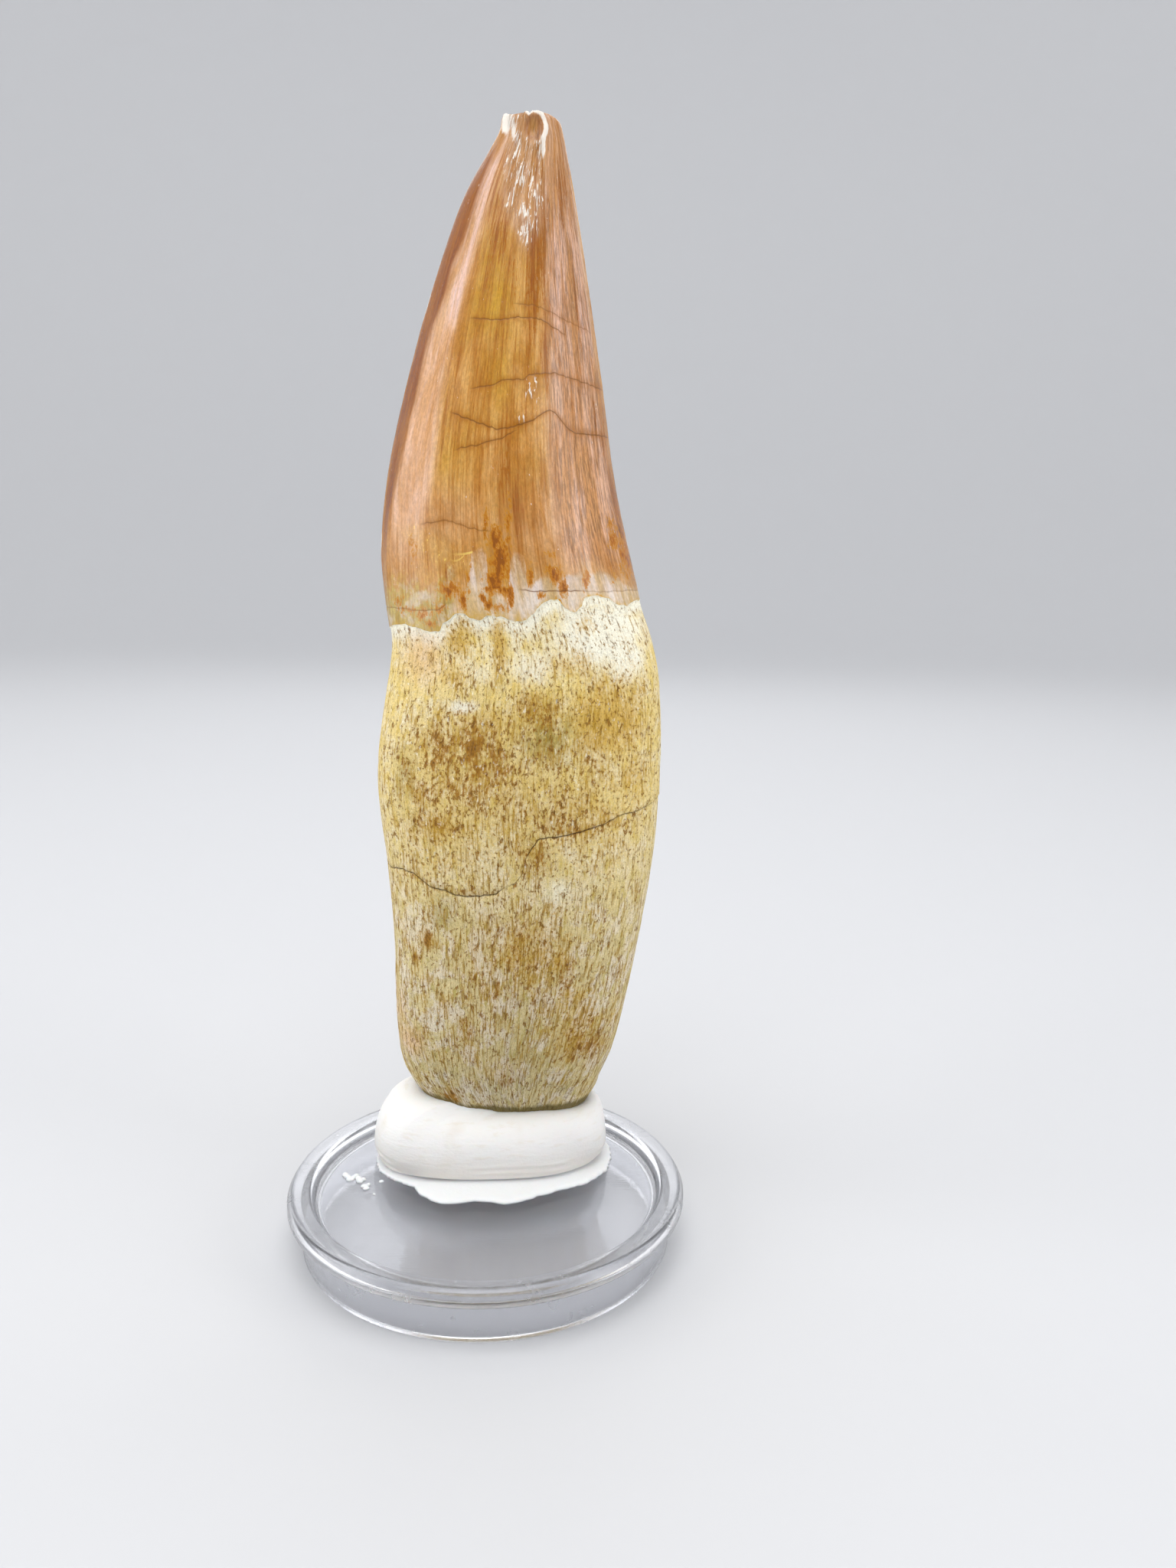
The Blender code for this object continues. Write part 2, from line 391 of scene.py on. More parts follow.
from_keel = np.abs(np.arcsin(np.sin(turns)))
keep = fall(KEEL_KEEP * 0.5, KEEL_KEEP, from_keel)
radii = rounded * (1 - keep) + radii * keep
print("slices:", len(slice_heights), "radius in mm from", radii.min() / MM, "to", radii.max() / MM)

# %% [markdown]
# ## Rows that follow the breaks
#
# A crack or the enamel's ragged edge only looks sharp if the mesh has an edge along it. So the grid's rows
# are guided by the lines that matter. Each line is a list of points on the front, left to right, as x and z
# in millimetres. Round the back it runs on with small waves.

# %% The lines that guide the rows, each with a seed and the height of its waves
LINES = (
    ("root_crack", 11, 0.8, (
        (-12, 37.6), (-10.1, 37.4), (-8.6, 37.7), (-7.6, 37.6), (-5.8, 36.5), (-4.4, 36.3), (-3.3, 35.9),
        (-1.4, 35.9), (0.6, 36.3), (1.4, 36.9), (2.3, 37.2), (3.1, 38.2), (3.5, 39.8), (4.7, 41.8),
        (7.9, 42.2), (10.7, 42.9), (12.2, 43.6), (14.8, 43.9), (17, 44.5),
    )),
    ("enamel_edge", 12, 0.55, (
        (-9.9, 60.9), (-9.2, 61.2), (-8.1, 61.4), (-6.8, 61.1), (-5.8, 60.8), (-4.9, 60.9), (-4.5, 61.6),
        (-3.7, 62.1), (-3.1, 62.6), (-2.3, 62.7), (-1.9, 62.2), (-0.9, 62.1), (-0.2, 62.5), (1.1, 62.4),
        (2.2, 62.1), (3.1, 62.1), (4.1, 62.8), (5, 63.6), (6, 64.1), (6.7, 64), (7.2, 63.2), (8, 62.9),
        (8.8, 63.4), (9.2, 64.2), (10.3, 64.4), (11.7, 64.2), (12.6, 63.5), (13.4, 63.4), (14.6, 63.9),
    )),
    ("neck_break", 13, 0.3, (
        (-9.5, 62.9), (-6.5, 62.8), (-4.8, 63), (-2.9, 64.2), (-1.5, 65.6), (-0.2, 65.2), (2.4, 65.1),
        (3.8, 64.8), (8.6, 64.9), (11, 64.8), (14.5, 64.9),
    )),
    ("low_crack", 14, 0.3, ((-8.5, 70.2), (-6, 70.8), (-3.9, 71.1), (-2, 70.5), (-0.3, 70.2), (12, 70.4))),
    ("branch_crack", 15, 0.3, (
        (-6, 76.4), (-4.3, 77), (-2.6, 77.7), (-1.2, 77.9), (-0.3, 78.3), (1.2, 78.6), (2.1, 79.2),
        (3.9, 79.7), (5.7, 80.7), (6.4, 80.2), (7.9, 79), (11, 79),
    )),
    ("main_crack", 16, 0.4, (
        (-9, 81.2), (-4.5, 81.2), (-3.3, 80.7), (-1.2, 80), (0.6, 79.4), (2.2, 79.6), (3.9, 80.2),
        (4.8, 80.9), (5.7, 81.3), (6.4, 80.8), (7.3, 79.8), (8.2, 79.4), (11, 79.5),
    )),
    ("second_crack", 17, 0.4, (
        (-8, 82.6), (-2.8, 82.8), (-1.6, 83.1), (0.1, 83.3), (1.2, 83.9), (3.1, 83.9), (3.6, 84.3),
        (6, 84.7), (8.6, 84.3), (10.6, 84),
    )),
    ("top_crack", 18, 0.3, (
        (-6.5, 89.4), (-1.5, 89.4), (1, 89.3), (2.4, 89.6), (4.2, 89.5), (5.1, 89.3), (6.7, 88.5),
        (9.8, 87.4),
    )),
    ("faint_crack", 19, 0.3, ((-6.5, 90.6), (1, 90.8), (2.5, 90.8), (5, 90.5), (6.6, 89.9), (9.8, 89.1))),
)

ROW_STEP = 0.4 * MM
TIP_ROWS = 12
LINE_OFFSETS = np.array((-0.13, -0.05, 0, 0.05, 0.13)) * MM
LEAST_SPACE = 0.42 * MM
JAG = 0.07 * MM
JAG_STEPS = 160
facing = -np.sin(turns)
on_front = facing > 0
front_turn = rise(-0.05, 0.1, facing)


def line_round(points, seed, wave):
    """A line's height in every direction: through its points on the front, and waving on round the back."""
    points = np.array(points) * MM
    sample = np.abs(slice_heights - points[:, 1].mean()).argmin()
    places = middles[sample, 0] + radii[sample] * np.cos(turns)
    index = np.arange(DIRECTIONS)
    heights = np.interp(places, points[:, 0], points[:, 1])
    heights = np.interp(index, index[on_front], heights[on_front], period=DIRECTIONS)
    chance = np.random.default_rng(seed)
    knots = np.linspace(0, DIRECTIONS, JAG_STEPS, endpoint=False)
    jags = np.interp(index, knots, chance.uniform(-1, 1, JAG_STEPS))
    waves = sum(np.sin((3 * k + 4) * turns + chance.uniform(0, math.tau)) / (k + 1) for k in range(5))
    return heights + JAG * jags + wave * waves * rise(0, 0.5, -facing)


guide_lines = {}
beneath = np.full(DIRECTIONS, slice_heights[0])
for name, seed, wave, points in LINES:
    guide_lines[name] = np.maximum(line_round(points, seed, wave * MM), beneath + LEAST_SPACE)
    beneath = guide_lines[name]


def rows_between(lower, upper):
    """Evenly shared rows between two lines, without the lines themselves."""
    count = max(1, round(float((upper - lower).mean()) / ROW_STEP) - 1)
    return [lower + (upper - lower) * k / (count + 1) for k in range(1, count + 1)]


bottom_row = np.full(DIRECTIONS, slice_heights[0])
top_row = np.full(DIRECTIONS, slice_heights[-1])
rows, line_rows = [bottom_row], {}
for name, line in guide_lines.items():
    rows += rows_between(rows[-1], line + LINE_OFFSETS[0])
    line_rows[name] = len(rows) + len(LINE_OFFSETS) // 2
    rows += [line + offset for offset in LINE_OFFSETS]
rows += rows_between(rows[-1], top_row)
rows.append(top_row)
side_rows = len(rows)
all_rows = side_rows + TIP_ROWS

# %% [markdown]
# ## Wrapping a grid round the tooth
#
# A grid primitive has its points in plain rows and columns. Each row is laid round the tooth at its guided
# height, and the last rows close over the worn tip.

# %% Helpers for wrapped grids
SEAM_MERGE = 0.002 * MM


def add_grid(name, columns, row_count):
    """A grid primitive to wrap into a tube, and the row and column of each of its points."""
    bpy.ops.object.select_all(action="DESELECT")
    bpy.ops.mesh.primitive_grid_add(x_subdivisions=columns, y_subdivisions=row_count - 1, size=1)
    obj = bpy.context.object
    obj.name = name
    flat = np.empty(len(obj.data.vertices) * 3, np.float32)
    obj.data.vertices.foreach_get("co", flat)
    flat = flat.reshape(-1, 3)
    column = np.rint((flat[:, 0] + 0.5) * columns).astype(int) % columns
    row = np.rint((flat[:, 1] + 0.5) * (row_count - 1)).astype(int)
    return obj, row, column


def place_points(obj, places, row, column):
    obj.data.vertices.foreach_set("co", places[row, column].astype(np.float32).ravel())
    obj.data.update()


def close_grid(obj):
    """Merges the ends of each row where they meet, and fills the first and last row with fans."""
    pick(obj)
    set_mode("EDIT")
    bpy.ops.mesh.select_mode(type="EDGE")
    bpy.ops.mesh.select_all(action="SELECT")
    bpy.ops.mesh.remove_doubles(threshold=SEAM_MERGE)
    bpy.ops.mesh.select_all(action="DESELECT")
    bpy.ops.mesh.select_non_manifold()
    bpy.ops.mesh.fill_holes(sides=0)
    bpy.ops.mesh.select_all(action="DESELECT")
    set_mode("OBJECT")
    for polygon in obj.data.polygons:
        polygon.select = len(polygon.vertices) > 4
    set_mode("EDIT")
    bpy.ops.mesh.select_mode(type="FACE")
    bpy.ops.mesh.poke()
    finish_mesh()


# %% Wrap the tooth's grid
tooth, row, column = add_grid("fossil_tooth", DIRECTIONS, all_rows)
z = np.empty((all_rows, DIRECTIONS))
z[:side_rows] = np.array(rows)
cover = np.arange(1, TIP_ROWS + 1)[:, None] / (TIP_ROWS + 0.6)
z[side_rows:] = top_row + (high_corner.z - top_row) * np.sqrt(1 - (1 - cover) ** 2)
shrink = np.ones((all_rows, 1))
shrink[side_rows:] = 1 - cover
level = np.minimum(z, slice_heights[-1])
reach = [np.interp(level[:, k], slice_heights, radii[:, k]) for k in range(DIRECTIONS)]
reach = np.stack(reach, axis=1) * shrink
middle_x = np.interp(level, slice_heights, middles[:, 0])
middle_y = np.interp(level, slice_heights, middles[:, 1])
x = middle_x + reach * np.cos(turns)
y = middle_y + reach * np.sin(turns)
across = (x - middle_x) / np.interp(level, slice_heights, widths)
X, Z = x / MM, z / MM
skin = np.stack([x, y, z], axis=-1)
place_points(tooth, skin, row, column)

normals = np.empty(len(tooth.data.vertices) * 3, np.float32)
tooth.data.vertices.foreach_get("normal", normals)
outward = np.zeros_like(skin)
np.add.at(outward, (row, column), normals.reshape(-1, 3))
outward /= np.linalg.norm(outward, axis=-1, keepdims=True)
outward *= np.sign((outward[..., 0] * np.cos(turns) + outward[..., 1] * np.sin(turns)).mean())

# %% [markdown]
# ## Relief of bone and enamel
#
# The root is fibrous bone: long fine grooves, pores and shallow dents. The enamel has fine ridges along it,
# flat faces that meet in soft edges, leaning wrinkles on the right and a broken tip. Each kind of relief is
# a field of random numbers on a stretched net, smoothed between its knots and added up as depth along the
# normal.

# %% Random fields on a stretched net
NET_TOP = 120 * MM
turn_share = np.broadcast_to((turns / math.tau) % 1, z.shape)
front = np.broadcast_to(front_turn, z.shape)
above_edge = z - guide_lines["enamel_edge"]
crown = rise(-SHARP, SHARP, above_edge)


def field(knots_round, knot_height, seed, lean=0):
    """Smooth random numbers from -1 to 1, seamless round the tooth. Lean turns the net as it goes up."""
    chance = np.random.default_rng(seed)
    net = chance.uniform(-1, 1, (int(NET_TOP / knot_height) + 2, knots_round))
    a, b = (turn_share + lean * z) % 1 * knots_round, z / knot_height
    left, low = np.floor(a).astype(int), np.floor(b).astype(int)
    s, t = a - left, b - low
    s, t = s * s * (3 - 2 * s), t * t * (3 - 2 * t)
    left, right = left % knots_round, (left + 1) % knots_round
    lower = net[low, left] * (1 - s) + net[low, right] * s
    upper = net[low + 1, left] * (1 - s) + net[low + 1, right] * s
    return lower * (1 - t) + upper * t


# %% Relief of the root
FIBRE_DEPTH = 0.04 * MM
FINE_FIBRE_DEPTH = 0.025 * MM
PORE_DEPTH = 0.15 * MM
DENT_DEPTH = 0.14 * MM
BREAK_STEP = 0.12 * MM
WORN_FINE = 0.1 * MM
WORN_WIDE = 0.22 * MM

fibres = field(150, 5 * MM, 21) * FIBRE_DEPTH + field(160, 1.8 * MM, 22) * FINE_FIBRE_DEPTH
pores = -rise(0.5, 0.95, field(160, 0.9 * MM, 23)) * PORE_DEPTH * (0.6 + 0.4 * field(12, 7 * MM, 24))
dents = field(9, 8 * MM, 25) * DENT_DEPTH * rise(0, 6 * MM, -above_edge)
above_break = z - guide_lines["root_crack"]
break_step = rise(7, 14, X) * rise(-SHARP, SHARP, above_break)
break_step = BREAK_STEP * break_step * np.exp(-np.maximum(above_break, 0) / (3 * MM))
worn_end = field(34, 1.3 * MM, 26) * WORN_FINE + field(13, 3 * MM, 27) * WORN_WIDE
worn_end = worn_end * fall(12 * MM, 21 * MM, z)
root_relief = fibres + pores + dents + break_step + worn_end

# %% [markdown]
# The enamel's flat faces meet along lines that run up the crown. Between two lines the face sinks a little,
# so each line stays as a soft edge. The two keels are the strongest: a sharp raised edge with fine uneven
# teeth.

# %% Relief of the crown
STRIP_LEFT = (
    (62, -9.8), (69, -9.8), (72, -9.5), (75, -8.75), (78, -8.1), (80.5, -7.55), (83, -6.85), (86, -6.2),
    (89, -5.3), (92, -4.1), (94.6, -3.5), (97, -2.4), (102, -0.8), (107, 1.2),
)
STRIP_RIGHT = (
    (62, -7.8), (66, -7.2), (71, -6), (77, -5.2), (80, -5), (83, -4.7), (86, -4.2), (89, -3.2), (92, -2.4),
    (97, -1.2), (102, 0.1), (107, 1.8),
)
KEEL_RISE = 0.07 * MM
KEEL_WIDTH = math.radians(2.8)
STRIA_DEPTH = 0.01 * MM
WRINKLE_DEPTH = 0.02 * MM
WRINKLE_LEAN = 4
SWELL_DEPTH = 0.035 * MM
RIPPLE_DEPTH = 0.012 * MM

angle = np.degrees(turns) % 360
front_order = np.flatnonzero(on_front)[angle[on_front].argsort()]


def turn_at(line):
    """The direction in degrees in which each row crosses a line up the front, given as z and x."""
    off = X - np.interp(Z, *np.array(line).T)
    return np.array([[np.interp(0, row_off, angle[front_order])] for row_off in off[:, front_order]])


strip_start, strip_end = turn_at(STRIP_LEFT), turn_at(STRIP_RIGHT)
FACES = (
    (0, 48, 0.2), (48, 92, 0.22), (92, 139, 0.22), (139, 180, 0.2), (180, strip_start, 0.12),
    (strip_start, strip_end, 0.24), (strip_end, 291, 0.34), (291, 360, 0.26),
)
face_dip = np.zeros_like(z)
for start, end, depth in FACES:
    share = (angle - start) / (end - start)
    face_dip += np.where((share >= 0) & (share < 1), depth * MM * np.sin(math.pi * share), 0)
faces = -face_dip * rise(0, 9 * MM, above_edge) * (1 - 0.7 * rise(88 * MM, 106 * MM, z))
serration = 0.8 + 0.2 * field(12, 0.8 * MM, 31)
keel = KEEL_RISE * np.exp(-(from_keel / KEEL_WIDTH) ** 2) * serration
keel = keel * rise(2 * MM, 12 * MM, above_edge) * fall(103 * MM, 107 * MM, z)
striae = (field(160, 18 * MM, 32) + 0.6 * field(150, 6 * MM, 33)) * STRIA_DEPTH
wrinkles = field(110, 2.6 * MM, 34, WRINKLE_LEAN) * WRINKLE_DEPTH * rise(0.25, 0.5, across) * front
swells = field(10, 6 * MM, 35) * SWELL_DEPTH
ripples = field(14, 0.8 * MM, 36) * RIPPLE_DEPTH * rise(0.2, 0.5, across) * rise(90 * MM, 93 * MM, z) * front
crown_relief = faces + keel + striae + wrinkles + swells + ripples

# %% [markdown]
# At its lower edge the enamel stands proud of the root, like thick varnish. The cracks are narrow grooves:
# their rows already follow them, so only the middle rows are pressed in, and each crack fades out at its
# ends.

# %% The enamel's ledge and the cracks
LEDGE = 0.08 * MM
LEDGE_FADE = 7 * MM
GROOVES = (
    ("root_crack", 0.2, -13, 1, 1),
    ("root_crack", 0.08, 0.6, 4.2, 0.3),
    ("root_crack", 0.2, 3.8, 18, 1),
    ("neck_break", 0.03, 3, 8.5, 0.9),
    ("neck_break", 0.02, 8, 15, 0.45),
    ("neck_break", 0.02, -10.5, -4, 0.6),
    ("low_crack", 0.012, -6.3, -0.2, 0.7),
    ("branch_crack", 0.014, -3, 2.2, 0.9),
    ("main_crack", 0.018, -3.4, 11.5, 1),
    ("second_crack", 0.014, -1.6, 11, 0.85),
    ("top_crack", 0.01, -1.6, 7, 0.9),
    ("faint_crack", 0.008, 2.4, 9.5, 0.6),
)
SHOULDER_SHARE = 0.35
SHADE_WIDTH = 0.35 * MM
ledge = LEDGE * crown * fall(0, LEDGE_FADE, above_edge)
grooves = np.zeros_like(z)
crack_dark = np.zeros_like(z)
crack_shade = np.zeros_like(z)
for name, depth, start, end, strength in GROOVES:
    at = line_rows[name]
    at_x = X[at]
    length = rise(start - 0.6, start + 0.4, at_x) * fall(end - 0.4, end + 0.6, at_x) * front_turn
    if name == "root_crack":
        length = np.maximum(length, 1 - front_turn)
    for offset, share in ((-1, SHOULDER_SHARE), (0, 1), (1, SHOULDER_SHARE)):
        grooves[at + offset] -= depth * MM * length * share
        crack_dark[at + offset] = np.maximum(crack_dark[at + offset], length * strength * share)
    shade = np.exp(-((z - guide_lines[name]) / SHADE_WIDTH) ** 2) * length * strength * (name != "neck_break")
    crack_shade = np.maximum(crack_shade, shade)

# %% [markdown]
# The tip is broken. A pit with a raised rim sits right of the middle, a sharp corner stands up on the left,
# and thin flakes run down the front. Fields with steps in them give the splintered look.

# %% The broken tip
TIP_PIT = (4, 107.3)
PIT_SIZE = (0.75, 1.1)
PIT_DEPTH = 0.45 * MM
PIT_RIM = 0.14 * MM
RIM_FAR = 1.5
FLAKE_DEPTH = 0.07 * MM
FLAKE_STEPS = 2.2
RAGGED_DEPTH = 0.12 * MM
CORNER_RISE = 0.35 * MM

pit_far = np.hypot((X - TIP_PIT[0]) / PIT_SIZE[0], (Z - TIP_PIT[1]) / PIT_SIZE[1])
pit = (-PIT_DEPTH * np.exp(-pit_far ** 2) + PIT_RIM * np.exp(-((pit_far - RIM_FAR) / 0.35) ** 2)) * front
flake_zone = rise(95 * MM, 107 * MM, z) * fall(0.35, 0.62, np.abs(across - 0.05)) * front
splinters = np.round((field(80, 1.6 * MM, 41) + 0.6 * field(150, 0.8 * MM, 42)) * FLAKE_STEPS) / FLAKE_STEPS
flakes = splinters * FLAKE_DEPTH * flake_zone
ragged = field(26, 0.9 * MM, 43) * RAGGED_DEPTH * rise(105 * MM, 109 * MM, z)
corner = CORNER_RISE * np.exp(-((X - 1.3) / 0.4) ** 2 - ((Z - 108.8) / 0.9) ** 2)

relief = root_relief * (1 - crown) + crown_relief * crown + ledge + grooves + pit + flakes + ragged
skin = skin + outward * relief[..., None]
skin[..., 2] += corner
place_points(tooth, skin, row, column)

# %% [markdown]
# ## Where each colour lies
#
# A fossil's colours follow its history: iron stains ran down from the neck, the enamel is thin and clear
# near its edge, and soil darkened patches of the root. Each kind of mark gets a map of soft patches, placed
# in millimetres, which the materials break up with fine noise. On the back, which the photo doesn't show,
# the patches are fewer and rounder.
# Some maps paint light and shade instead: a highlight strip, sheen and glints on the crown, shade along its
# edge, and on the root shade low down, along its crack and at the putty's lip, and light at its lower end.

# %% Helpers for maps of soft patches
back = 1 - front


def patches(*spots, side=front, over=0):
    """Soft ovals on one side, laid over a map, each as middle x and z, half width, half height, strength."""
    strongest = np.zeros_like(z)
    for place_x, place_z, half_x, half_z, strength in spots:
        far = ((X - place_x) / half_x) ** 2 + ((Z - place_z) / half_z) ** 2
        strongest = np.maximum(strongest, strength * np.exp(-far ** 1.2))
    return np.maximum(strongest * side, over)


def between(points_left, points_right, soft_left, soft_right):
    """1 between two lines up the tooth, each given as pairs of z and x in millimetres."""
    start = np.interp(Z, *np.array(points_left).T)
    end = np.interp(Z, *np.array(points_right).T)
    return rise(start - soft_left, start + soft_left, X) * fall(end - soft_right, end + soft_right, X)


# %% Maps of the crown's tones
# The pale strip down the left is partly a paler enamel tone and partly a painted highlight.
pale_and_highlight = between(STRIP_LEFT, STRIP_RIGHT, 0.4, 0.9) * rise(63, 74, Z) * fall(103, 108, Z) * front
pale_and_highlight = patches((-4.5, 71.5, 4, 2.5, 0.3), (5, 71, 4, 4, 0.4), (8.5, 73.5, 3, 7, 0.6), over=pale_and_highlight)
pale_and_highlight = patches((-5, 84, 2, 9, 0.7), (4, 78, 2, 7, 0.4), side=back, over=pale_and_highlight)
gold = patches(
    (0.4, 91, 2.4, 5, 1), (0.2, 84.8, 2.2, 3.4, 0.7), (-0.6, 95.5, 1, 3.5, 0.7),
    (-3.4, 76.5, 2.2, 3.4, 0.55), (-0.5, 80.8, 2.5, 2, 0.45),
)
gold = patches((1, 88, 2.5, 8, 0.8), side=back, over=gold)
brown = patches(
    (4.5, 95, 1.2, 8.5, 0.62), (0.6, 98.5, 1, 4.5, 0.65), (2.4, 93.5, 0.8, 3, 0.35),
    (2.2, 74.5, 1.6, 4.5, 0.35), (6.8, 101, 1.2, 5, 0.4), (8.6, 90, 1, 6, 0.25), (10.6, 79, 0.9, 8, 0.35),
    (5, 86, 1.1, 3.2, 0.55), (-0.4, 94.5, 0.6, 3, 0.3), (1.2, 104.5, 0.7, 2.4, 0.4),
    (12.2, 71, 0.9, 3, 0.35),
)
brown = patches((-3, 80, 1.8, 8, 0.45), (5, 86, 1.6, 6, 0.4), side=back, over=brown)
strip_x = np.interp(Z, *np.array(STRIP_LEFT).T)
# The crown's left edge and the back of the keel: brown, deepened as painted shade.
edge_brown_and_shade = fall(strip_x - 0.4, strip_x + 0.4, X) * rise(66, 72, Z) * fall(104, 108, Z) * front
edge_brown_and_shade = np.maximum(edge_brown_and_shade, 0.55 * rise(0.86, 0.97, across) * fall(74, 82, Z))
behind_keel = fall(math.radians(4), math.radians(16), from_keel) * back * fall(-0.5, 0, across)
edge_brown_and_shade = np.maximum(edge_brown_and_shade, behind_keel * rise(64, 74, Z) * fall(104, 108, Z))
# The right side's pink is partly an enamel tone and partly a painted sheen.
pink_and_sheen = rise(0.34, 0.5, across) * fall(0.93, 1, across) * front
pink_and_sheen = pink_and_sheen * rise(64, 70, Z) * (1 - 0.4 * rise(96, 104, Z))

# %% Maps of the crown's marks
amber = patches(
    (-7.2, 69.9, 1.5, 0.8, 0.8), (-5.7, 68.9, 1.3, 0.8, 1), (-4.2, 67.8, 1.4, 0.8, 1),
    (-2.6, 67.1, 1.6, 0.6, 0.9),
)
stain = patches(
    (0.5, 69.4, 0.9, 1.6, 0.9), (0.9, 67.4, 1, 2.4, 1), (0.4, 65.9, 1, 1.1, 0.9),
    (-0.4, 70.6, 0.3, 1.6, 0.8), (1.7, 71.4, 0.4, 3, 0.7), (-1.9, 66.2, 0.3, 1.6, 0.7),
    (-7.2, 68.6, 0.8, 1.6, 0.5), (5.6, 68.2, 0.9, 0.5, 0.5), (12, 70.2, 0.8, 1.8, 0.7),
    (6.2, 66.3, 0.75, 1, 1), (6.8, 65.2, 0.5, 1.1, 0.9), (5.4, 66.9, 0.5, 0.5, 0.8),
    (9, 65.9, 0.4, 1.1, 0.9), (3.8, 66.1, 0.3, 1.3, 0.8), (13.3, 68.3, 0.8, 2.6, 0.85),
    (11.8, 65.9, 0.4, 0.6, 0.6), (-3.5, 64.8, 1.2, 0.9, 0.9), (-2.3, 64, 0.5, 1.2, 0.8),
    (-4.6, 63.2, 0.7, 0.9, 0.7), (-0.2, 64.8, 0.5, 0.6, 1), (1.5, 64.9, 0.7, 0.5, 0.9),
    (0.3, 63.2, 0.9, 0.5, 0.9), (1.9, 63.6, 0.4, 0.9, 0.7), (-7.4, 62.9, 1.5, 0.6, 0.6),
    (-8.8, 63.6, 1.2, 0.8, 0.5), (-6.4, 62.6, 1.6, 0.9, 0.55), (4.7, 64.4, 0.6, 0.4, 0.6),
    (6.4, 64.2, 0.5, 0.5, 0.6), (10.1, 64.4, 1, 0.3, 0.5), (-5.6, 61.6, 1, 0.6, 0.7),
    (8.9, 64, 0.4, 0.6, 0.6),
)
stain = patches((-4, 66, 1.1, 2.4, 0.9), (2, 67, 0.8, 3, 0.8), (7, 66, 1.4, 1.6, 0.7), side=back, over=stain)
WINDOW_TOPS = (
    (-4.8, 60), (-3, 62.4), (-2.4, 63.4), (-2.1, 65.3), (-1.9, 66.6), (-1.8, 68.4), (-1.4, 69), (-0.5, 68.9),
    (-0.2, 68.3), (-0.1, 63.6), (1.7, 63.8), (1.85, 67.8), (2.2, 68.7), (3, 68.6), (3.3, 67.8), (3.45, 65.4),
    (3.9, 65.2), (4.4, 66.2), (5, 66.4), (5.9, 66.1), (7.1, 66.5), (8.8, 66.7), (10.5, 66.8), (12.4, 66.5),
    (12.9, 65.6), (14, 65.4),
)
window = fall(-0.7, 0.6, Z - np.interp(X, *np.array(WINDOW_TOPS).T) - 0.25 * field(60, MM, 44))
back_window = fall(1.2, 2.4, above_edge / MM + 0.8 * field(40, 2 * MM, 45))
window = np.maximum(window * front, 0.8 * back * back_window)
window = window * (1 - 0.5 * rise(65, 69, Z))
window = patches(
    (-6.2, 64.2, 1.2, 0.6, 0.9), (-6, 62.5, 1.1, 0.6, 0.9), (-3.6, 66.4, 0.8, 1.4, 0.6), over=window,
)
neck_ring = np.hypot((X - 0.7) / 1.3, (Z - 64.2) / 0.95)
stain = np.maximum(stain, 0.95 * np.exp(-((neck_ring - 1) / 0.25) ** 2) * front)
window = np.maximum(window, 0.9 * np.exp(-(neck_ring / 0.55) ** 4) * front)
edge_line = np.exp(-((above_edge / MM - 0.1) / 0.14) ** 2)
clear_band = fall(1, 7, above_edge / MM)
under_break = fall(-0.3, 0.3, (z - guide_lines["neck_break"]) / MM)
olive_band = clear_band * fall(-4, -2, X)
FLAKE_LEFT = ((95.5, 2.9), (97.3, 2.2), (99, 1.3), (101, 0.9), (105, 1.3), (108.7, 1.2))
FLAKE_RIGHT = ((95.5, 3.6), (97.3, 4.6), (99, 5), (101, 5.2), (105, 4.9), (108.7, 5.2))
tip_flakes = 0.5 * between(FLAKE_LEFT, FLAKE_RIGHT, 0.5, 0.5) * rise(95.5, 98, Z) * front
tip_flakes = tip_flakes * (1 - np.exp(-(pit_far / 1.15) ** 4))
tip_flakes = patches(
    (1.9, 107.9, 0.5, 1.1, 1), (2.5, 105.8, 0.5, 1.7, 1), (2.8, 102.6, 1.1, 1.5, 1),
    (1.9, 101.1, 0.45, 1.1, 0.9), (3.25, 98.4, 0.9, 2.3, 1), (4.5, 105.3, 0.4, 1.8, 1),
    (4.3, 100.7, 0.5, 1.6, 0.9), (4, 83, 0.9, 1.3, 0.8), (3, 80.4, 0.8, 0.5, 0.6), over=tip_flakes,
)
# White on the tip: worn white enamel, and a painted highlight on the lit side of the pit's rim.
lit_side_of_rim = rise(-0.6, 0.5, (X - TIP_PIT[0]) / PIT_SIZE[0] + 0.8 * (Z - TIP_PIT[1]) / PIT_SIZE[1])
rim_white_and_glint = np.exp(-((pit_far - RIM_FAR) / 0.3) ** 2) * front * lit_side_of_rim
pit_dark = (np.exp(-((pit_far - 0.95) / 0.25) ** 2) + 0.5 * np.exp(-pit_far ** 2)) * front
rim_white_and_glint = patches(
    (1.4, 108, 0.45, 1.5, 1), (2.1, 106.9, 0.25, 1.3, 0.7), (4.9, 105.4, 0.25, 1.2, 0.9), over=rim_white_and_glint,
)
chipped = patches(
    (-6, 91, 1.5, 2, 1), (-8, 86.5, 1.5, 1.5, 0.8), (-10.5, 69, 1.5, 1.5, 1), (13, 69.5, 1.5, 1, 1), side=1,
)
streaky = (1 - 0.65 * pale_and_highlight) * (1 - 0.2 * rise(80, 90, Z))
# White on the keels: chips, and painted glints of the serration.
keel_chips_and_glints = np.exp(-(from_keel / math.radians(2.2)) ** 2) * crown * np.maximum(0.25, chipped)

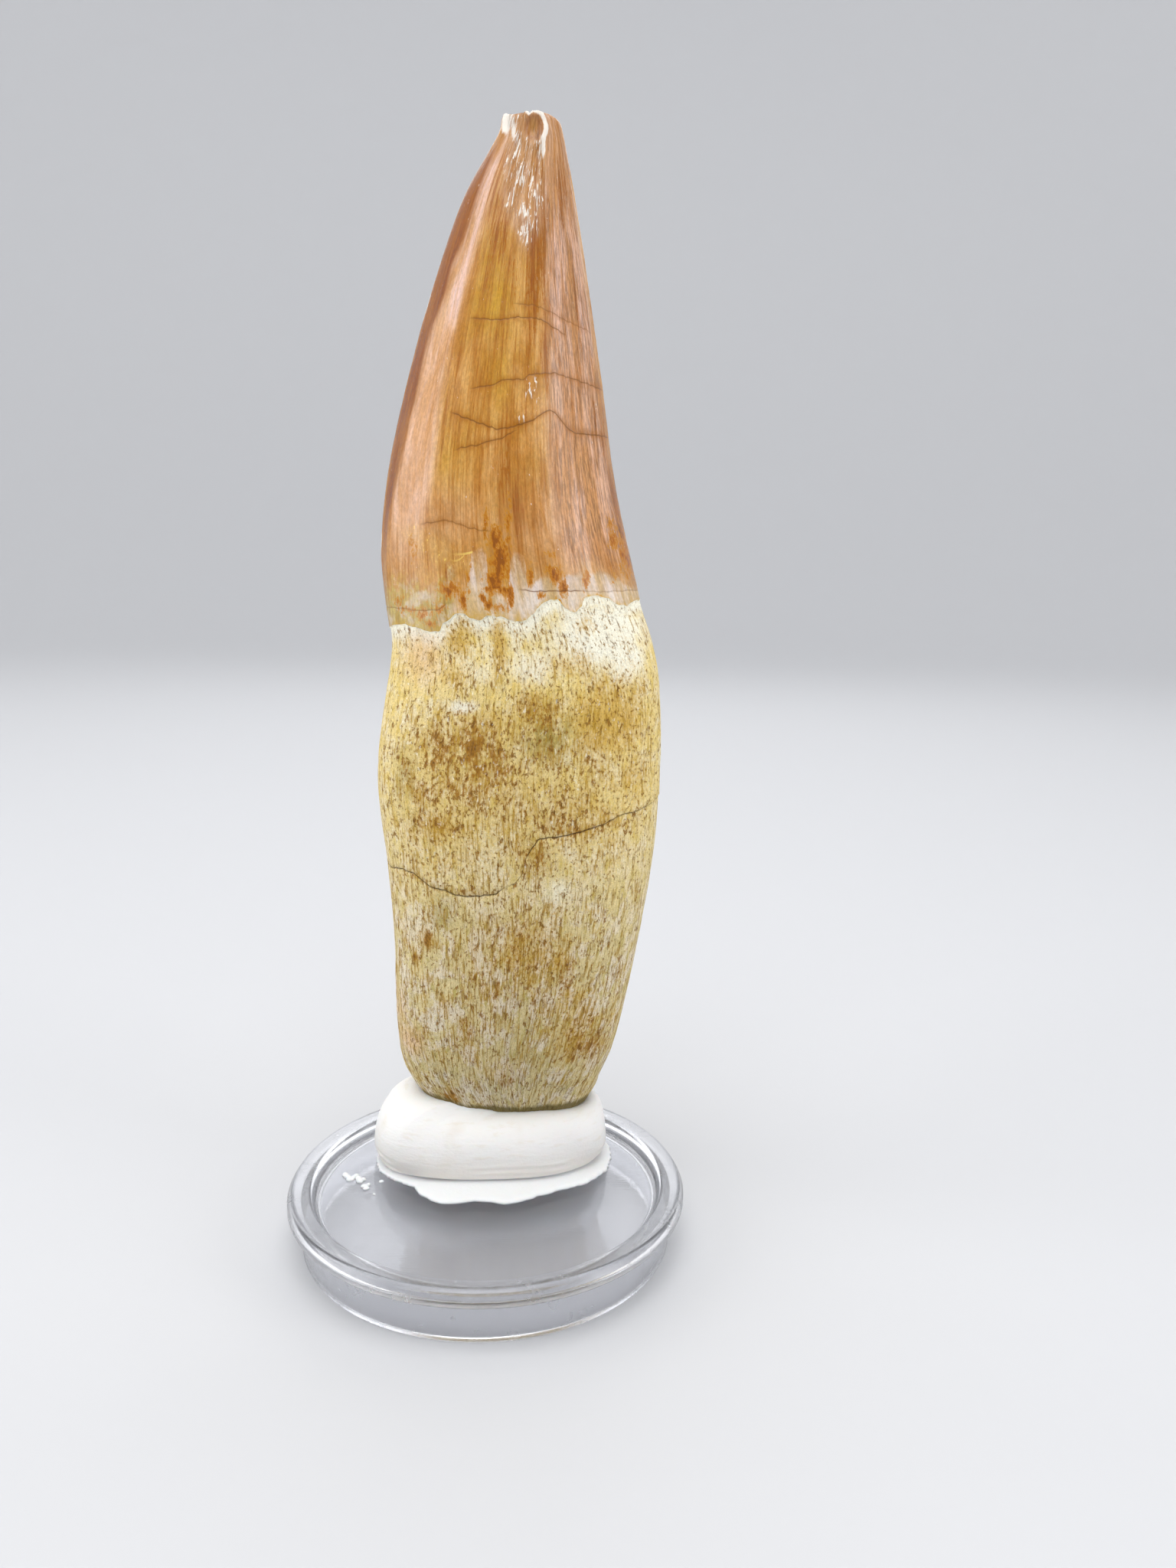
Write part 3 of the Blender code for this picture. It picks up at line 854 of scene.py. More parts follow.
# %% Maps of the root's tones
below_edge = np.maximum(-above_edge / MM, 0)
halo = np.exp(-below_edge / 0.55)
# White chalk on the root; the wide patch low down at z 14.5 is painted light on the root's lower end.
chalk_and_painted_light = patches(
    (10.5, 61, 5, 3.4, 1), (13, 58.5, 2.6, 2.6, 0.8), (-2.4, 54.1, 1.6, 0.7, 0.9), (4, 58, 2.5, 2, 0.6),
    (-1, 57.5, 2, 1.4, 0.4), (6.5, 36.5, 2, 1.6, 0.5), (1.5, 14.5, 8, 3, 0.3),
)
chalk_and_painted_light = np.maximum(chalk_and_painted_light, 0.8 * np.exp(-np.maximum(below_edge - 0.5, 0) / 1.4) * (1 - crown))
ochre = patches(
    (11, 53, 4.6, 4.2, 1), (0.9, 60.2, 0.7, 3.4, 1), (-2.6, 60.6, 1.5, 1.8, 0.9), (-3, 57, 1.4, 1.4, 0.6),
    (4.4, 54, 3, 2.6, 0.7), (9, 61.6, 0.9, 1.2, 0.6), (-4.4, 42.4, 3, 2, 0.7), (7.5, 58, 3, 1.6, 0.5),
    (-5, 42.5, 5, 6.5, 0.4), (10.5, 44.5, 5, 5.5, 0.5), (2, 45, 6, 6, 0.35), (1, 52.5, 6, 1.8, 0.5),
    (14, 47, 2, 4, 0.6), (4.5, 30, 4, 4, 0.5), (8.5, 22, 3, 4, 0.5),
)
ochre = patches((3, 54, 6, 5, 0.8), (-5, 38, 4, 6, 0.6), (4, 24, 4, 4, 0.5), side=back, over=ochre)
olive = patches(
    (5.4, 51.6, 2.4, 2.4, 1), (-4.5, 34, 1.4, 2, 0.5), (-8, 47, 1.2, 3, 0.5), (4, 20, 3, 4, 0.3),
)
rose = patches(
    (-6.2, 58.6, 2.2, 2.6, 0.9), (-7.8, 19.4, 1.5, 1.6, 1), (-9, 22.5, 0.9, 2.5, 0.6),
    (1, 17, 2.5, 1.5, 0.2),
)
# The root turns darker and greyer towards the bottom, partly as painted shade.
lower_grey_and_shade = fall(24, 50, Z)
# A painted shadow where the root meets the putty's lip.
lip_line = np.interp(X, (-8, -4.3, -3, 0.2, 5, 10.4), (12.3, 12.3, 11.7, 11.3, 11.2, 11.4))
putty_lip_shadow = np.exp(-(np.maximum(Z - lip_line - 0.15, 0) / 0.85) ** 2)

# %% Map of where the root is dark: pores filled with soil, and painted shade along its crack
# The three thin patches along the crack, at z 36 to 43, are painted shade.
soil_and_crack_shade = patches(
    (-4.6, 49.6, 3.2, 2.8, 0.9), (-1.4, 50.2, 2.6, 3.6, 1), (0.8, 49, 1.4, 3.6, 0.9), (-2, 46, 2.2, 2, 0.8),
    (-6.6, 46.5, 1.6, 2.2, 0.6), (-4.6, 42.8, 2.2, 1.4, 0.7), (4.2, 40.4, 1.7, 2.2, 0.9),
    (6.2, 43.2, 2.2, 1.4, 0.6), (4.4, 53.5, 2.2, 2, 0.75), (5, 49.8, 1.8, 2, 0.6), (9.4, 48, 2, 1.6, 0.5),
    (9.6, 19.6, 2.6, 2.6, 0.75), (3.2, 30.5, 2.4, 5, 0.5), (7.4, 28, 1, 3, 0.6), (-5.8, 30.8, 0.9, 0.9, 1),
    (-3.6, 13.3, 1, 1, 1), (0.8, 26.2, 0.4, 1.3, 1), (-7.2, 28.7, 0.35, 0.5, 1), (2, 15.6, 0.8, 0.9, 0.8),
    (-2.4, 21.5, 1, 2, 0.6), (1.5, 29, 5, 8, 0.3), (-2, 48.5, 6.5, 5.5, 0.7), (8.5, 42.6, 5, 0.6, 0.7),
    (-7, 37.2, 2, 0.5, 0.5), (-2, 36.3, 3, 0.5, 0.6), (5, 46, 6, 4, 0.35),
)
soil_and_crack_shade = patches((-3, 48, 4, 5, 0.7), (5, 34, 3, 6, 0.6), (0, 22, 5, 3, 0.5), side=back, over=soil_and_crack_shade)

# %% [markdown]
# Each map goes onto the mesh as an attribute. One more attribute is a place: the skin laid on a plain
# cylinder. A pattern that reads it runs up the tooth and closes in towards the tip.

# %% Store the maps on the mesh
GRAIN_RADIUS = 11 * MM
# Painted sheen on the upper crown, over the pale strip, the pink side and the flakes.
painted_sheen = rise(82, 92, Z) * (pale_and_highlight + 0.45 * pink_and_sheen + 1.1 * tip_flakes)
MAPS = dict(
    pale_and_highlight=pale_and_highlight, gold=gold, painted_sheen=painted_sheen, brown=brown, edge_brown_and_shade=edge_brown_and_shade, pink_and_sheen=pink_and_sheen, amber=amber, stain=stain,
    window=window, under_break=under_break, clear_band=clear_band, olive_band=olive_band, streaky=streaky,
    tip_flakes=tip_flakes, rim_white_and_glint=rim_white_and_glint, pit_dark=pit_dark, keel_chips_and_glints=keel_chips_and_glints, crack=crack_dark,
    crack_shade=crack_shade, edge_line=edge_line, halo=halo, chalk_and_painted_light=chalk_and_painted_light, ochre=ochre, olive=olive, rose=rose,
    soil_and_crack_shade=soil_and_crack_shade, lower_grey_and_shade=lower_grey_and_shade, putty_lip_shadow=putty_lip_shadow,
)
for name, values in MAPS.items():
    layer = tooth.data.attributes.new(name, "FLOAT", "POINT")
    layer.data.foreach_set("value", np.clip(values, 0, 1)[row, column].astype(np.float32))
grain = np.stack([GRAIN_RADIUS * np.cos(turns) + z * 0, GRAIN_RADIUS * np.sin(turns) + z * 0, z], axis=-1)
layer = tooth.data.attributes.new("grain", "FLOAT_VECTOR", "POINT")
layer.data.foreach_set("vector", grain[row, column].astype(np.float32).ravel())

# %% [markdown]
# ## Close the tooth
#
# The grid's first and last columns meet at the back and are merged there. The root's hidden end and the
# small hole at the tip are filled with fans of triangles. Faces above the enamel's edge get the second
# material.

# %% Two materials, one closed skin
corner_index = np.empty(len(tooth.data.loops), np.int32)
tooth.data.loops.foreach_get("vertex_index", corner_index)
face_rows = row[corner_index].reshape(-1, 4).min(axis=1)
tooth.data.polygons.foreach_set("material_index", (face_rows > line_rows["enamel_edge"]).astype(np.int32))
close_grid(tooth)

# %% [markdown]
# ## Finish of the root
#
# Fossil bone: dull, cream to ochre, made of fine long fibres. Soil filled its pores, so small brown dashes
# follow the grain, dense in some patches and rare in others. The dashes are stretched noise cut at a
# threshold, and the stored patches move that threshold.
# The root is also painted darker and greyer low down, partly as shade, lighter at its lower end as painted
# light, darker along its crack as painted shade, and with a painted shadow where it meets the putty.

# %% The bone material
BONE = (0.84, 0.67, 0.29)
BONE_PALE = (0.87, 0.77, 0.5)
# Darker lower tones, partly painted shade:
BONE_LOW_SHADED = (0.67, 0.56, 0.29)
LOW_PALE_SHADED = (0.75, 0.66, 0.49)
CHALK = (0.95, 0.91, 0.74)
YELLOW = (0.74, 0.53, 0.12)
# Darker lower yellow, partly painted shade.
YELLOW_LOW_SHADED = (0.44, 0.35, 0.07)
OCHRE = (0.6, 0.36, 0.05)
STREAK = (0.5, 0.28, 0.02)
STREAK_DEEP = (0.36, 0.155, 0.008)
DARK_OCHRE = (0.42, 0.235, 0.016)
SOIL = (0.2, 0.085, 0.008)
PORE = (0.34, 0.155, 0.02)
OLIVE = (0.3, 0.24, 0.06)
ROSE = (0.74, 0.44, 0.25)
FOOT_SHADE = (0.15, 0.11, 0.025)
CRACK_BONE = (0.09, 0.055, 0.03)


def fibrous(squeeze, size, detail, rough, lean=0, warp=0):
    """Noise that follows the grain of the material in hand, drawn out along it by a small squeeze."""
    return noise(stretch(grain_place, (1, 1, squeeze), lean), size, detail, rough, warp)


bone, tree, shader = new_material("fossil_bone", 0.78, Specular_IOR_Level=0.3)
grain_place = stored("grain", "Vector")
mottle = noise(grain_place, 2.6, 6, 0.7)
grainy = fibrous(0.5, 0.9, 5, 0.7)
blotch = fibrous(0.8, 1.5, 6, 0.75)
plate = fibrous(0.7, 1.8, 5, 0.65)
yellow = fibrous(0.3, 0.6, 5, 0.7)
fibre = fibrous(0.12, 0.24, 4, 0.7)
dash = fibrous(0.48, 0.5, 4, 0.7)
blob = fibrous(0.42, 0.9, 4, 0.6)
pore = fibrous(0.7, 0.26, 3, 0.6)
speck = noise(grain_place, 0.13, 2, 0.6)
fleck = noise(stretch(grain_place, (1.1, 1.1, 0.6)), 0.5, 4, 0.7)
low = stored("lower_grey_and_shade")

upper_sum = total(mottle, (blotch, 0.4))
upper_tone = layered(
    BONE, (ramp(upper_sum, 0.62, 0.8), BONE_PALE), (ramp(yellow, 0.46, 0.64, 0, 0.75), YELLOW)
)
# The root's lower part takes darker tones, partly as painted shade.
lower_shaded_tone = layered(
    BONE_LOW_SHADED, (ramp(plate, 0.47, 0.57), LOW_PALE_SHADED), (ramp(yellow, 0.54, 0.66, 0, 0.75), YELLOW_LOW_SHADED)
)
ochre_sum = total(
    times(stored("ochre"), 0.5), (mottle, 0.5), (grainy, 0.5), (blotch, 0.6), (pore, 0.9), (speck, 0.4)
)
glaze = ramp(total(grainy, (blotch, 0.6), (pore, 0.5)), 0.9, 1.2, 0.3, 0.85)
fibre_sum = total(
    fibre, (stored("ochre"), 0.05), (stored("soil_and_crack_shade"), 0.04), (low, 0.045), (stored("chalk_and_painted_light"), -0.07),
    (mottle, 0.25), (blotch, 0.3),
)
dash_sum = total(dash, (stored("soil_and_crack_shade"), 0.15), (mottle, 0.15), (speck, 0.12), (low, 0.01))
blob_sum = total(blob, (stored("soil_and_crack_shade"), 0.22), (speck, 0.1))
pore_sum = total(pore, (stored("soil_and_crack_shade"), 0.05), (stored("ochre"), 0.03))
colour = layered(
    blend(low, upper_tone, lower_shaded_tone),
    (ramp(total(stored("chalk_and_painted_light"), (grainy, 0.9)), 0.62, 1.25), CHALK),
    (times(stored("rose"), 0.55), ROSE),
    (ramp(ochre_sum, 1.42, 1.98, 0, 0.85), OCHRE),
    (times(stored("olive"), ramp(grainy, 0.36, 0.6, 0.2, 1)), OLIVE),
    (times(stored("soil_and_crack_shade"), glaze), DARK_OCHRE),
    (ramp(fibre_sum, 0.81, 0.93, 0, 0.75), STREAK),
    (ramp(dash_sum, 0.73, 0.82, 0, 0.85), STREAK_DEEP),
    (ramp(dash_sum, 0.84, 0.94, 0, 0.85), SOIL),
    (ramp(blob_sum, 0.8, 0.86, 0, 0.88), STREAK_DEEP),
    (ramp(blob_sum, 0.88, 0.95, 0, 0.88), SOIL),
    (ramp(pore_sum, 0.59, 0.67, 0, 0.75), PORE),
    (times(ramp(fleck, 0.6, 0.7, 0, 0.6), ramp(low, 0, 1, 1, 0.4)), CHALK),
    (ramp(low, 0, 1, 0.3, 0.9), ramp(fibre, 0.46, 0.64, 1.04, 0.7), "MULTIPLY"),
    (1, ramp(speck, 0.3, 0.7, 0.84, 1.1), "MULTIPLY"),
    (ramp(total(stored("halo"), (ramp(grainy, 0.36, 0.64), 0.5)), 0.85, 1.35), CHALK),
    (times(ramp(total(stored("putty_lip_shadow"), (grainy, 1.2)), 0.85, 1.45), 0.9), FOOT_SHADE),
    (stored("crack"), CRACK_BONE),
)
dress(colour, (fibre, 0.12), (ramp(dash, 0.58, 0.72, 1, 0), 0.1), (ramp(pore, 0.58, 0.7, 1, 0), 0.06))

# %% [markdown]
# ## Finish of the crown
#
# Fossil enamel: honey to mahogany brown, glossy as if varnished, with very fine streaks along it. Near its
# lower edge it is thin and clear, with rust-brown stains. The tip is splintered and white. A coat on the
# shader gives the varnish its sharp gloss over a softer one.
# Some of the colour is painted light: the pale strip down the left is partly a painted highlight, the pink
# right side partly a painted sheen, the upper crown has a painted sheen, the edge is deepened as painted
# shade, and white glints are painted on the tip's rim, the keels and in rare flecks.

# %% The enamel material
HONEY = (0.5, 0.23, 0.034)
TAN = (0.6, 0.3, 0.075)
GOLD = (0.48, 0.235, 0.01)
MAHOGANY = (0.35, 0.115, 0.003)
# Brown, deepened as painted shade along the crown's edge.
EDGE_BROWN_SHADE = (0.28, 0.08, 0.002)
# Partly a paler enamel tone, partly a painted highlight.
PALE_HIGHLIGHT = (0.75, 0.45, 0.28)
# Partly a pink enamel tone, partly a painted sheen.
PINK_TAN_SHEEN = (0.61, 0.335, 0.2)
# A painted sheen.
SHEEN_PINK = (0.88, 0.7, 0.66)
AMBER = (0.7, 0.42, 0.13)
THREAD_YELLOW = (0.9, 0.68, 0.16)
RUN_BROWN = (0.52, 0.22, 0.014)
RUST = (0.43, 0.135, 0.004)
RUST_DARK = (0.24, 0.07, 0.004)
LINE_DARK = (0.84, 0.73, 0.55)
LINE_LIGHT = (1.08, 1.13, 1.25)
BAND_DARK = (0.86, 0.74, 0.5)
# Its blue-white lift is partly a painted sheen.
BAND_SHEEN_LIGHT = (1.1, 1.18, 1.45)
CLEAR_GREY = (0.7, 0.49, 0.27)
CLEAR_OLIVE = (0.44, 0.31, 0.06)
WINDOW = (0.68, 0.55, 0.41)
UNDER_BREAK = (0.72, 0.6, 0.43)
# White of chips, used also for painted glints on the rim, the keels and the flecks.
WHITE_CHIP_AND_GLINT = (0.92, 0.84, 0.74)
FLAKE_BROWN = (0.34, 0.14, 0.05)
CRACK_ENAMEL = (0.16, 0.06, 0.008)

THREADS = ((-4.3, -1.5, 68.3, -0.25, 0.06), (-4.1, -2.3, 68, -0.55, 0.05), (-7, -4, 69.7, -0.7, 0.06))


def broken(name, low, high, fine, share=0.7):
    """A stored patch with its edge broken up by fine noise."""
    return ramp(total(stored(name), (fine, share)), low, high)


def thin_curve(start, end, height, sag, width):
    """A thin bowed line on the front, in millimetres: from x start to end at a height, with a sag."""
    place = object_place()
    along = ramp(part_of(place, "X"), start * MM, end * MM, kind="LINEAR")
    bow = times(along, calc("SUBTRACT", 1, along))
    line = calc("ADD", times(bow, 4 * sag * MM), height * MM)
    off = calc("ABSOLUTE", calc("SUBTRACT", part_of(place, "Z"), line))
    inside = times(ramp(bow, 0, 0.05), ramp(part_of(place, "Y"), 0, -MM))
    return times(ramp(off, width * MM, 2.2 * width * MM, 1, 0), inside)


enamel, tree, shader = new_material(
    "fossil_enamel", 0.32, Specular_IOR_Level=0.25, Coat_Weight=0.22, Coat_Roughness=0.12, Coat_IOR=1.5
)
grain_place = stored("grain", "Vector")
stria = fibrous(0.05, 0.26, 4, 0.65)
streak = fibrous(0.09, 0.6, 5, 0.7)
mineral = fibrous(0.6, 0.28, 4, 0.7)
leaning = fibrous(0.12, 0.22, 3, 0.6, lean=0.22)
cloud = noise(grain_place, 4, 4, 0.55)
grit = fibrous(0.6, 0.7, 5, 0.7)
drip = fibrous(0.18, 0.8, 4, 0.65)
flake = fibrous(0.36, 0.55, 4, 0.6, lean=0.15, warp=0.8)
# Broad bands of tone, whose lighter parts are partly a painted sheen.
bands_and_sheen = fibrous(0.22, 2.2, 4, 0.6, warp=0.4)
spots = noise(grain_place, 1.5, 4, 0.65)
# Rare white flecks: painted glints.
glint_fleck = fibrous(0.5, 0.45, 4, 0.7)
streaky, pink_and_sheen, zone = stored("streaky"), stored("pink_and_sheen"), stored("tip_flakes")

sharp_mineral = ramp(mineral, 0.36, 0.64)
rough_edge = total(ramp(grit, 0.36, 0.64), (sharp_mineral, 0.8))
rough_streak = total(ramp(streak, 0.38, 0.62), (sharp_mineral, 0.6))
clear = ramp(total(stored("clear_band"), (drip, 0.8), (grit, 0.5)), 1.15, 1.75, 0, 0.55)
olive_sum = total(stored("olive_band"), (rough_edge, 0.4))
window_sum = total(stored("window"), (ramp(drip, 0.36, 0.64), 0.12), (rough_edge, 0.14))
window_tone = layered(
    WINDOW, (stored("under_break"), UNDER_BREAK), (times(stored("olive_band"), 0.4), CLEAR_OLIVE)
)
plain = times(streaky, ramp(stored("window"), 0.2, 0.9, 1, 0.35))
stain_sum = total(stored("stain"), (rough_edge, 0.45))
chips = ramp(total(flake, (zone, 0.16)), 0.655, 0.7)
colour = layered(
    HONEY,
    (ramp(cloud, 0.38, 0.62), TAN),
    (times(stored("gold"), 0.8), GOLD),
    (times(pink_and_sheen, 0.6), PINK_TAN_SHEEN),
    (broken("brown", 0.72, 1.12, rough_streak, 0.55), MAHOGANY),
    (times(stored("pale_and_highlight"), 0.72), PALE_HIGHLIGHT),
    (times(stored("edge_brown_and_shade"), 0.95), EDGE_BROWN_SHADE),
    (times(stored("painted_sheen"), ramp(streak, 0.4, 0.6, 0.32, 0.12)), SHEEN_PINK),
    (times(streaky, ramp(streak, 0.54, 0.66, 0, 0.55)), MAHOGANY),
    (clear, CLEAR_GREY),
    (ramp(olive_sum, 0.62, 1.3, 0, 0.85), CLEAR_OLIVE),
    (times(stored("amber"), 0.45), AMBER),
    (times(stored("olive_band"), ramp(spots, 0.5, 0.62, 0, 0.4)), WINDOW),
    (ramp(window_sum, 0.52, 1.12, 0, 0.8), window_tone),
    (plain, blend(ramp(stria, 0.36, 0.58), LINE_DARK, LINE_LIGHT), "MULTIPLY"),
    (1, blend(ramp(bands_and_sheen, 0.36, 0.62), BAND_DARK, BAND_SHEEN_LIGHT), "MULTIPLY"),
    (1, ramp(mineral, 0.32, 0.68, 0.82, 1.1), "MULTIPLY"),
    (pink_and_sheen, ramp(leaning, 0.45, 0.6, 1.06, 0.64), "MULTIPLY"),
    *((thin_curve(*thread), THREAD_YELLOW) for thread in THREADS),
    (times(ramp(mineral, 0.6, 0.68), ramp(stored("amber"), 0.2, 0.7)), THREAD_YELLOW),
    (ramp(stain_sum, 0.76, 0.98, 0, 0.85), RUN_BROWN),
    (ramp(stain_sum, 0.94, 1.22, 0, 0.92), RUST),
    (ramp(stain_sum, 1.18, 1.46, 0, 0.85), RUST_DARK),
    (ramp(glint_fleck, 0.69, 0.73, 0, 0.8), WHITE_CHIP_AND_GLINT),
    (times(zone, ramp(flake, 0.36, 0.48, 0.6, 0)), FLAKE_BROWN),
    (times(chips, ramp(zone, 0.05, 0.5)), WHITE_CHIP_AND_GLINT),
    (times(stored("pit_dark"), 0.8), FLAKE_BROWN),
    (broken("rim_white_and_glint", 0.65, 1, grit), WHITE_CHIP_AND_GLINT),
    (broken("keel_chips_and_glints", 0.95, 1.15, grit, 0.9), WHITE_CHIP_AND_GLINT),
    (times(stored("edge_line"), ramp(grit, 0.42, 0.62, 0.1, 0.8)), OCHRE),
    (times(stored("crack_shade"), ramp(grit, 0.35, 0.6, 0.15, 0.75)), MAHOGANY),
    (stored("crack"), CRACK_ENAMEL),
)
dress(colour, (stria, 0.03), (cloud, 0.2), (times(leaning, pink_and_sheen), 0.04), (times(flake, zone), 0.3))
feed(shader.inputs["Roughness"], ramp(total(zone, (grit, 0.4)), 0.3, 1.2, 0.27, 0.5))

# %% The tooth rides on the frame
tooth.data.materials.append(bone)
tooth.data.materials.append(enamel)
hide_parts("tooth")
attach(tooth, "root")

# %% [markdown]
# ## The putty
#
# White mounting putty, rolled by hand and pressed down: a fat cushion with a soft lip round the root, and a
# thin torn film on the lid, all one closed skin. A half section runs from the film's edge, up the bulging
# side, over the lip and down along the root, and each direction has its own film edge and lip height.

# %% The putty's sizes, in millimetres
PUTTY_MIDDLE = np.array((0.3, 6.8))
PUTTY_HALF = (12.4, 7.5)
PUTTY_POWER = 0.78
PUTTY_FOOT = 4.63
PUTTY_WIDEST = 7
CREASE = 0.89
CREASE_WAVE = 0.04
FILM_THICK = 0.28
PUTTY_DIRECTIONS = 360
LIP_TURNS = (0, 45, 90, 135, 180, 222, 236, 255, 285, 310, 335, 360)
LIP_HEIGHTS = (10.9, 10.9, 11.4, 12.3, 12.9, 12.6, 11.8, 11.3, 11.2, 11.2, 11.1, 10.9)
FILM_EDGE = (
    (13.1, 4.4), (12.4, 2), (10.4, -0.3), (8.9, -1.1), (7.6, -1.5), (6.2, -2.2), (4.8, -2.8), (3.2, -3.7),
    (1.7, -4.1), (0.2, -3.6), (-1.3, -3.3), (-3, -3.7), (-4.7, -3.5), (-6, -2.6), (-6.9, -1.8), (-7.6, -0.2),
    (-9, 0.6), (-10, 1.4), (-11.2, 2.9), (-11.8, 5.5), (-11.7, 8.5), (-10.9, 11.2), (-8.6, 13.2), (-5, 14),
    (-0.5, 14.3), (4, 14.1), (8, 13.7), (11, 12.2), (12.6, 9.6), (13.2, 7),
)
FILM_TEAR = 0.1
putty_turns = np.arange(PUTTY_DIRECTIONS) / PUTTY_DIRECTIONS * math.tau
cosine, sine = np.cos(putty_turns), np.sin(putty_turns)

# %% Outlines of the film, the lump and the root from above


def round_oblong(scale=1):
    """The putty's plain outline from above, a rounded oblong round its middle."""
    return PUTTY_MIDDLE + np.column_stack([
        PUTTY_HALF[0] * scale * np.sign(cosine) * np.abs(cosine) ** PUTTY_POWER,
        PUTTY_HALF[1] * scale * np.sign(sine) * np.abs(sine) ** PUTTY_POWER,
    ])


def film_outline():
    """The film's torn edge, found from its points by direction and roughened."""
    spokes = np.array(FILM_EDGE) - PUTTY_MIDDLE
    directions = np.arctan2(spokes[:, 1], spokes[:, 0])
    order = directions.argsort()
    outline = round_oblong() - PUTTY_MIDDLE
    point_turns = np.arctan2(outline[:, 1], outline[:, 0])
    reach = np.interp(point_turns, directions[order], np.hypot(*spokes.T)[order], period=math.tau)
    chance = np.random.default_rng(51)
    tears = chance.uniform(-1, 1, PUTTY_DIRECTIONS // 2)
    index = np.arange(PUTTY_DIRECTIONS)
    reach = reach + FILM_TEAR * np.interp(index, index[::2], tears)
    return PUTTY_MIDDLE + np.column_stack([reach * np.cos(point_turns), reach * np.sin(point_turns)])


def root_at(height, inset):
    """The root's skin at a height, moved inward, as one point for each direction."""
    sample = np.abs(slice_heights - height * MM).argmin()
    reach = np.interp(putty_turns, turns, radii[sample], period=math.tau) / MM - inset
    return middles[sample] / MM + np.column_stack([reach * cosine, reach * sine])


def ring(plan, height):
    return np.column_stack([plan, np.broadcast_to(height, PUTTY_DIRECTIONS)])


# %% Rings from the film's edge to the socket
FILM_SHARES = (0.08, 0.25, 0.45, 0.65, 0.85, 0.97)
SIDE_RINGS = 26
LIP_RINGS = 26
SOCKET_RINGS = 5
TOUCH = 0.1
SOCKET_GAP = 0.3
chance = np.random.default_rng(52)
lip_waves = sum(np.sin((k + 2) * putty_turns + chance.uniform(0, math.tau)) / (k + 2) for k in range(6))
lip_height = np.interp(putty_turns, np.radians(LIP_TURNS), LIP_HEIGHTS) + 0.1 * lip_waves
crease_waves = sum(np.sin((k + 3) * putty_turns + chance.uniform(0, math.tau)) / (k + 2) for k in range(9))
crease_height = PUTTY_FOOT + FILM_THICK + 0.2
film, widest = film_outline(), round_oblong()
crease = PUTTY_MIDDLE + (round_oblong(CREASE) - PUTTY_MIDDLE) * (1 + CREASE_WAVE * crease_waves)[:, None]
root_touch = root_at(LIP_HEIGHTS[2], TOUCH)

putty_rings = [ring(film, PUTTY_FOOT), ring(film + (crease - film) * 0.02, PUTTY_FOOT + FILM_THICK * 0.6)]
for share in FILM_SHARES:
    putty_rings.append(ring(film + (crease - film) * share, PUTTY_FOOT + FILM_THICK + 0.1 * share))
for k in range(SIDE_RINGS):
    turn = math.pi / 2 * (1 - k / SIDE_RINGS)
    plan = crease + (widest - crease) * math.cos(turn)
    putty_rings.append(ring(plan, PUTTY_WIDEST + (crease_height - PUTTY_WIDEST) * math.sin(turn)))
for k in range(LIP_RINGS + 1):
    turn = math.pi / 2 * k / LIP_RINGS
    plan = root_touch + (widest - root_touch) * math.cos(turn) ** 0.9
    putty_rings.append(ring(plan, PUTTY_WIDEST + (lip_height - PUTTY_WIDEST) * math.sin(turn)))
for k in range(1, SOCKET_RINGS + 1):
    share = k / SOCKET_RINGS
    low = LIP_HEIGHTS[2] + (low_corner.z / MM + 0.2 - LIP_HEIGHTS[2]) * share
    putty_rings.append(ring(root_at(low, TOUCH + SOCKET_GAP), lip_height + (low - lip_height) * share))
putty_rings = np.array(putty_rings)

# %% [markdown]
# The rings are laid on a grid, as for the tooth. Slow waves make it hand-rolled, and fine level wrinkles low
# on the side show where it was squeezed out.

# %% Wrap the putty's grid
WAVE_DEPTH = 0.16
WRINKLE = 0.05
putty, row, column = add_grid("white_putty_lump", PUTTY_DIRECTIONS, len(putty_rings))
height = putty_rings[..., 2]
chance = np.random.default_rng(53)
waves = 0
for k in range(3, 9):
    twist, start = chance.uniform(0.3, 0.9), chance.uniform(0, math.tau)
    waves = waves + np.sin(k * putty_turns + height * twist + start) / k
level_lines = np.sin(height * 8 + 3 * np.sin(2 * putty_turns + 0.6) + 1.5 * np.sin(5 * putty_turns))
side = rise(5, 5.6, height) * fall(10.6, 11.2, height)
low_side = rise(5, 5.4, height) * fall(6.4, 7.6, height)
patchy = rise(-0.2, 0.8, np.sin(5 * putty_turns + 2) + 0.6 * np.sin(11 * putty_turns + height))
push = WAVE_DEPTH * waves * side + WRINKLE * level_lines * low_side * patchy
putty_rings[..., 0] += push * cosine
putty_rings[..., 1] += push * sine
place_points(putty, putty_rings * MM, row, column)
close_grid(putty)

# %% [markdown]
# ## Finish of the putty
#
# Almost pure white, slightly warm, satin, and lets a little light in. Handling left faint tan marks and one
# dark green crumb in front.
# Its lower side is painted darker and warmer, as shade.

# %% The putty material
PUTTY_WHITE = (0.84, 0.83, 0.81)
PUTTY_TAN = (0.72, 0.64, 0.5)
# Painted shade on the lump's lower side.
PUTTY_LOW_SHADE = (0.8, 0.75, 0.68)
PUTTY_FILM = (0.78, 0.78, 0.79)
CRUMB_GREEN = (0.1, 0.12, 0.05)
CRUMB_PLACE = (4.2 * MM, 0, 6.35 * MM)
putty_paint, tree, shader = new_material(
    "hand_pressed_putty", 0.55, Specular_IOR_Level=0.35, Subsurface_Weight=0.15, Subsurface_Scale=1.2 * MM
)
place = object_place()
cloud = noise(place, 5, 3, 0.5)
smear = noise(stretch(place, (0.25, 0.25, 1)), 0.5, 3, 0.6)
fine = noise(place, 0.25, 2, 0.5)
level = part_of(place, "Z")
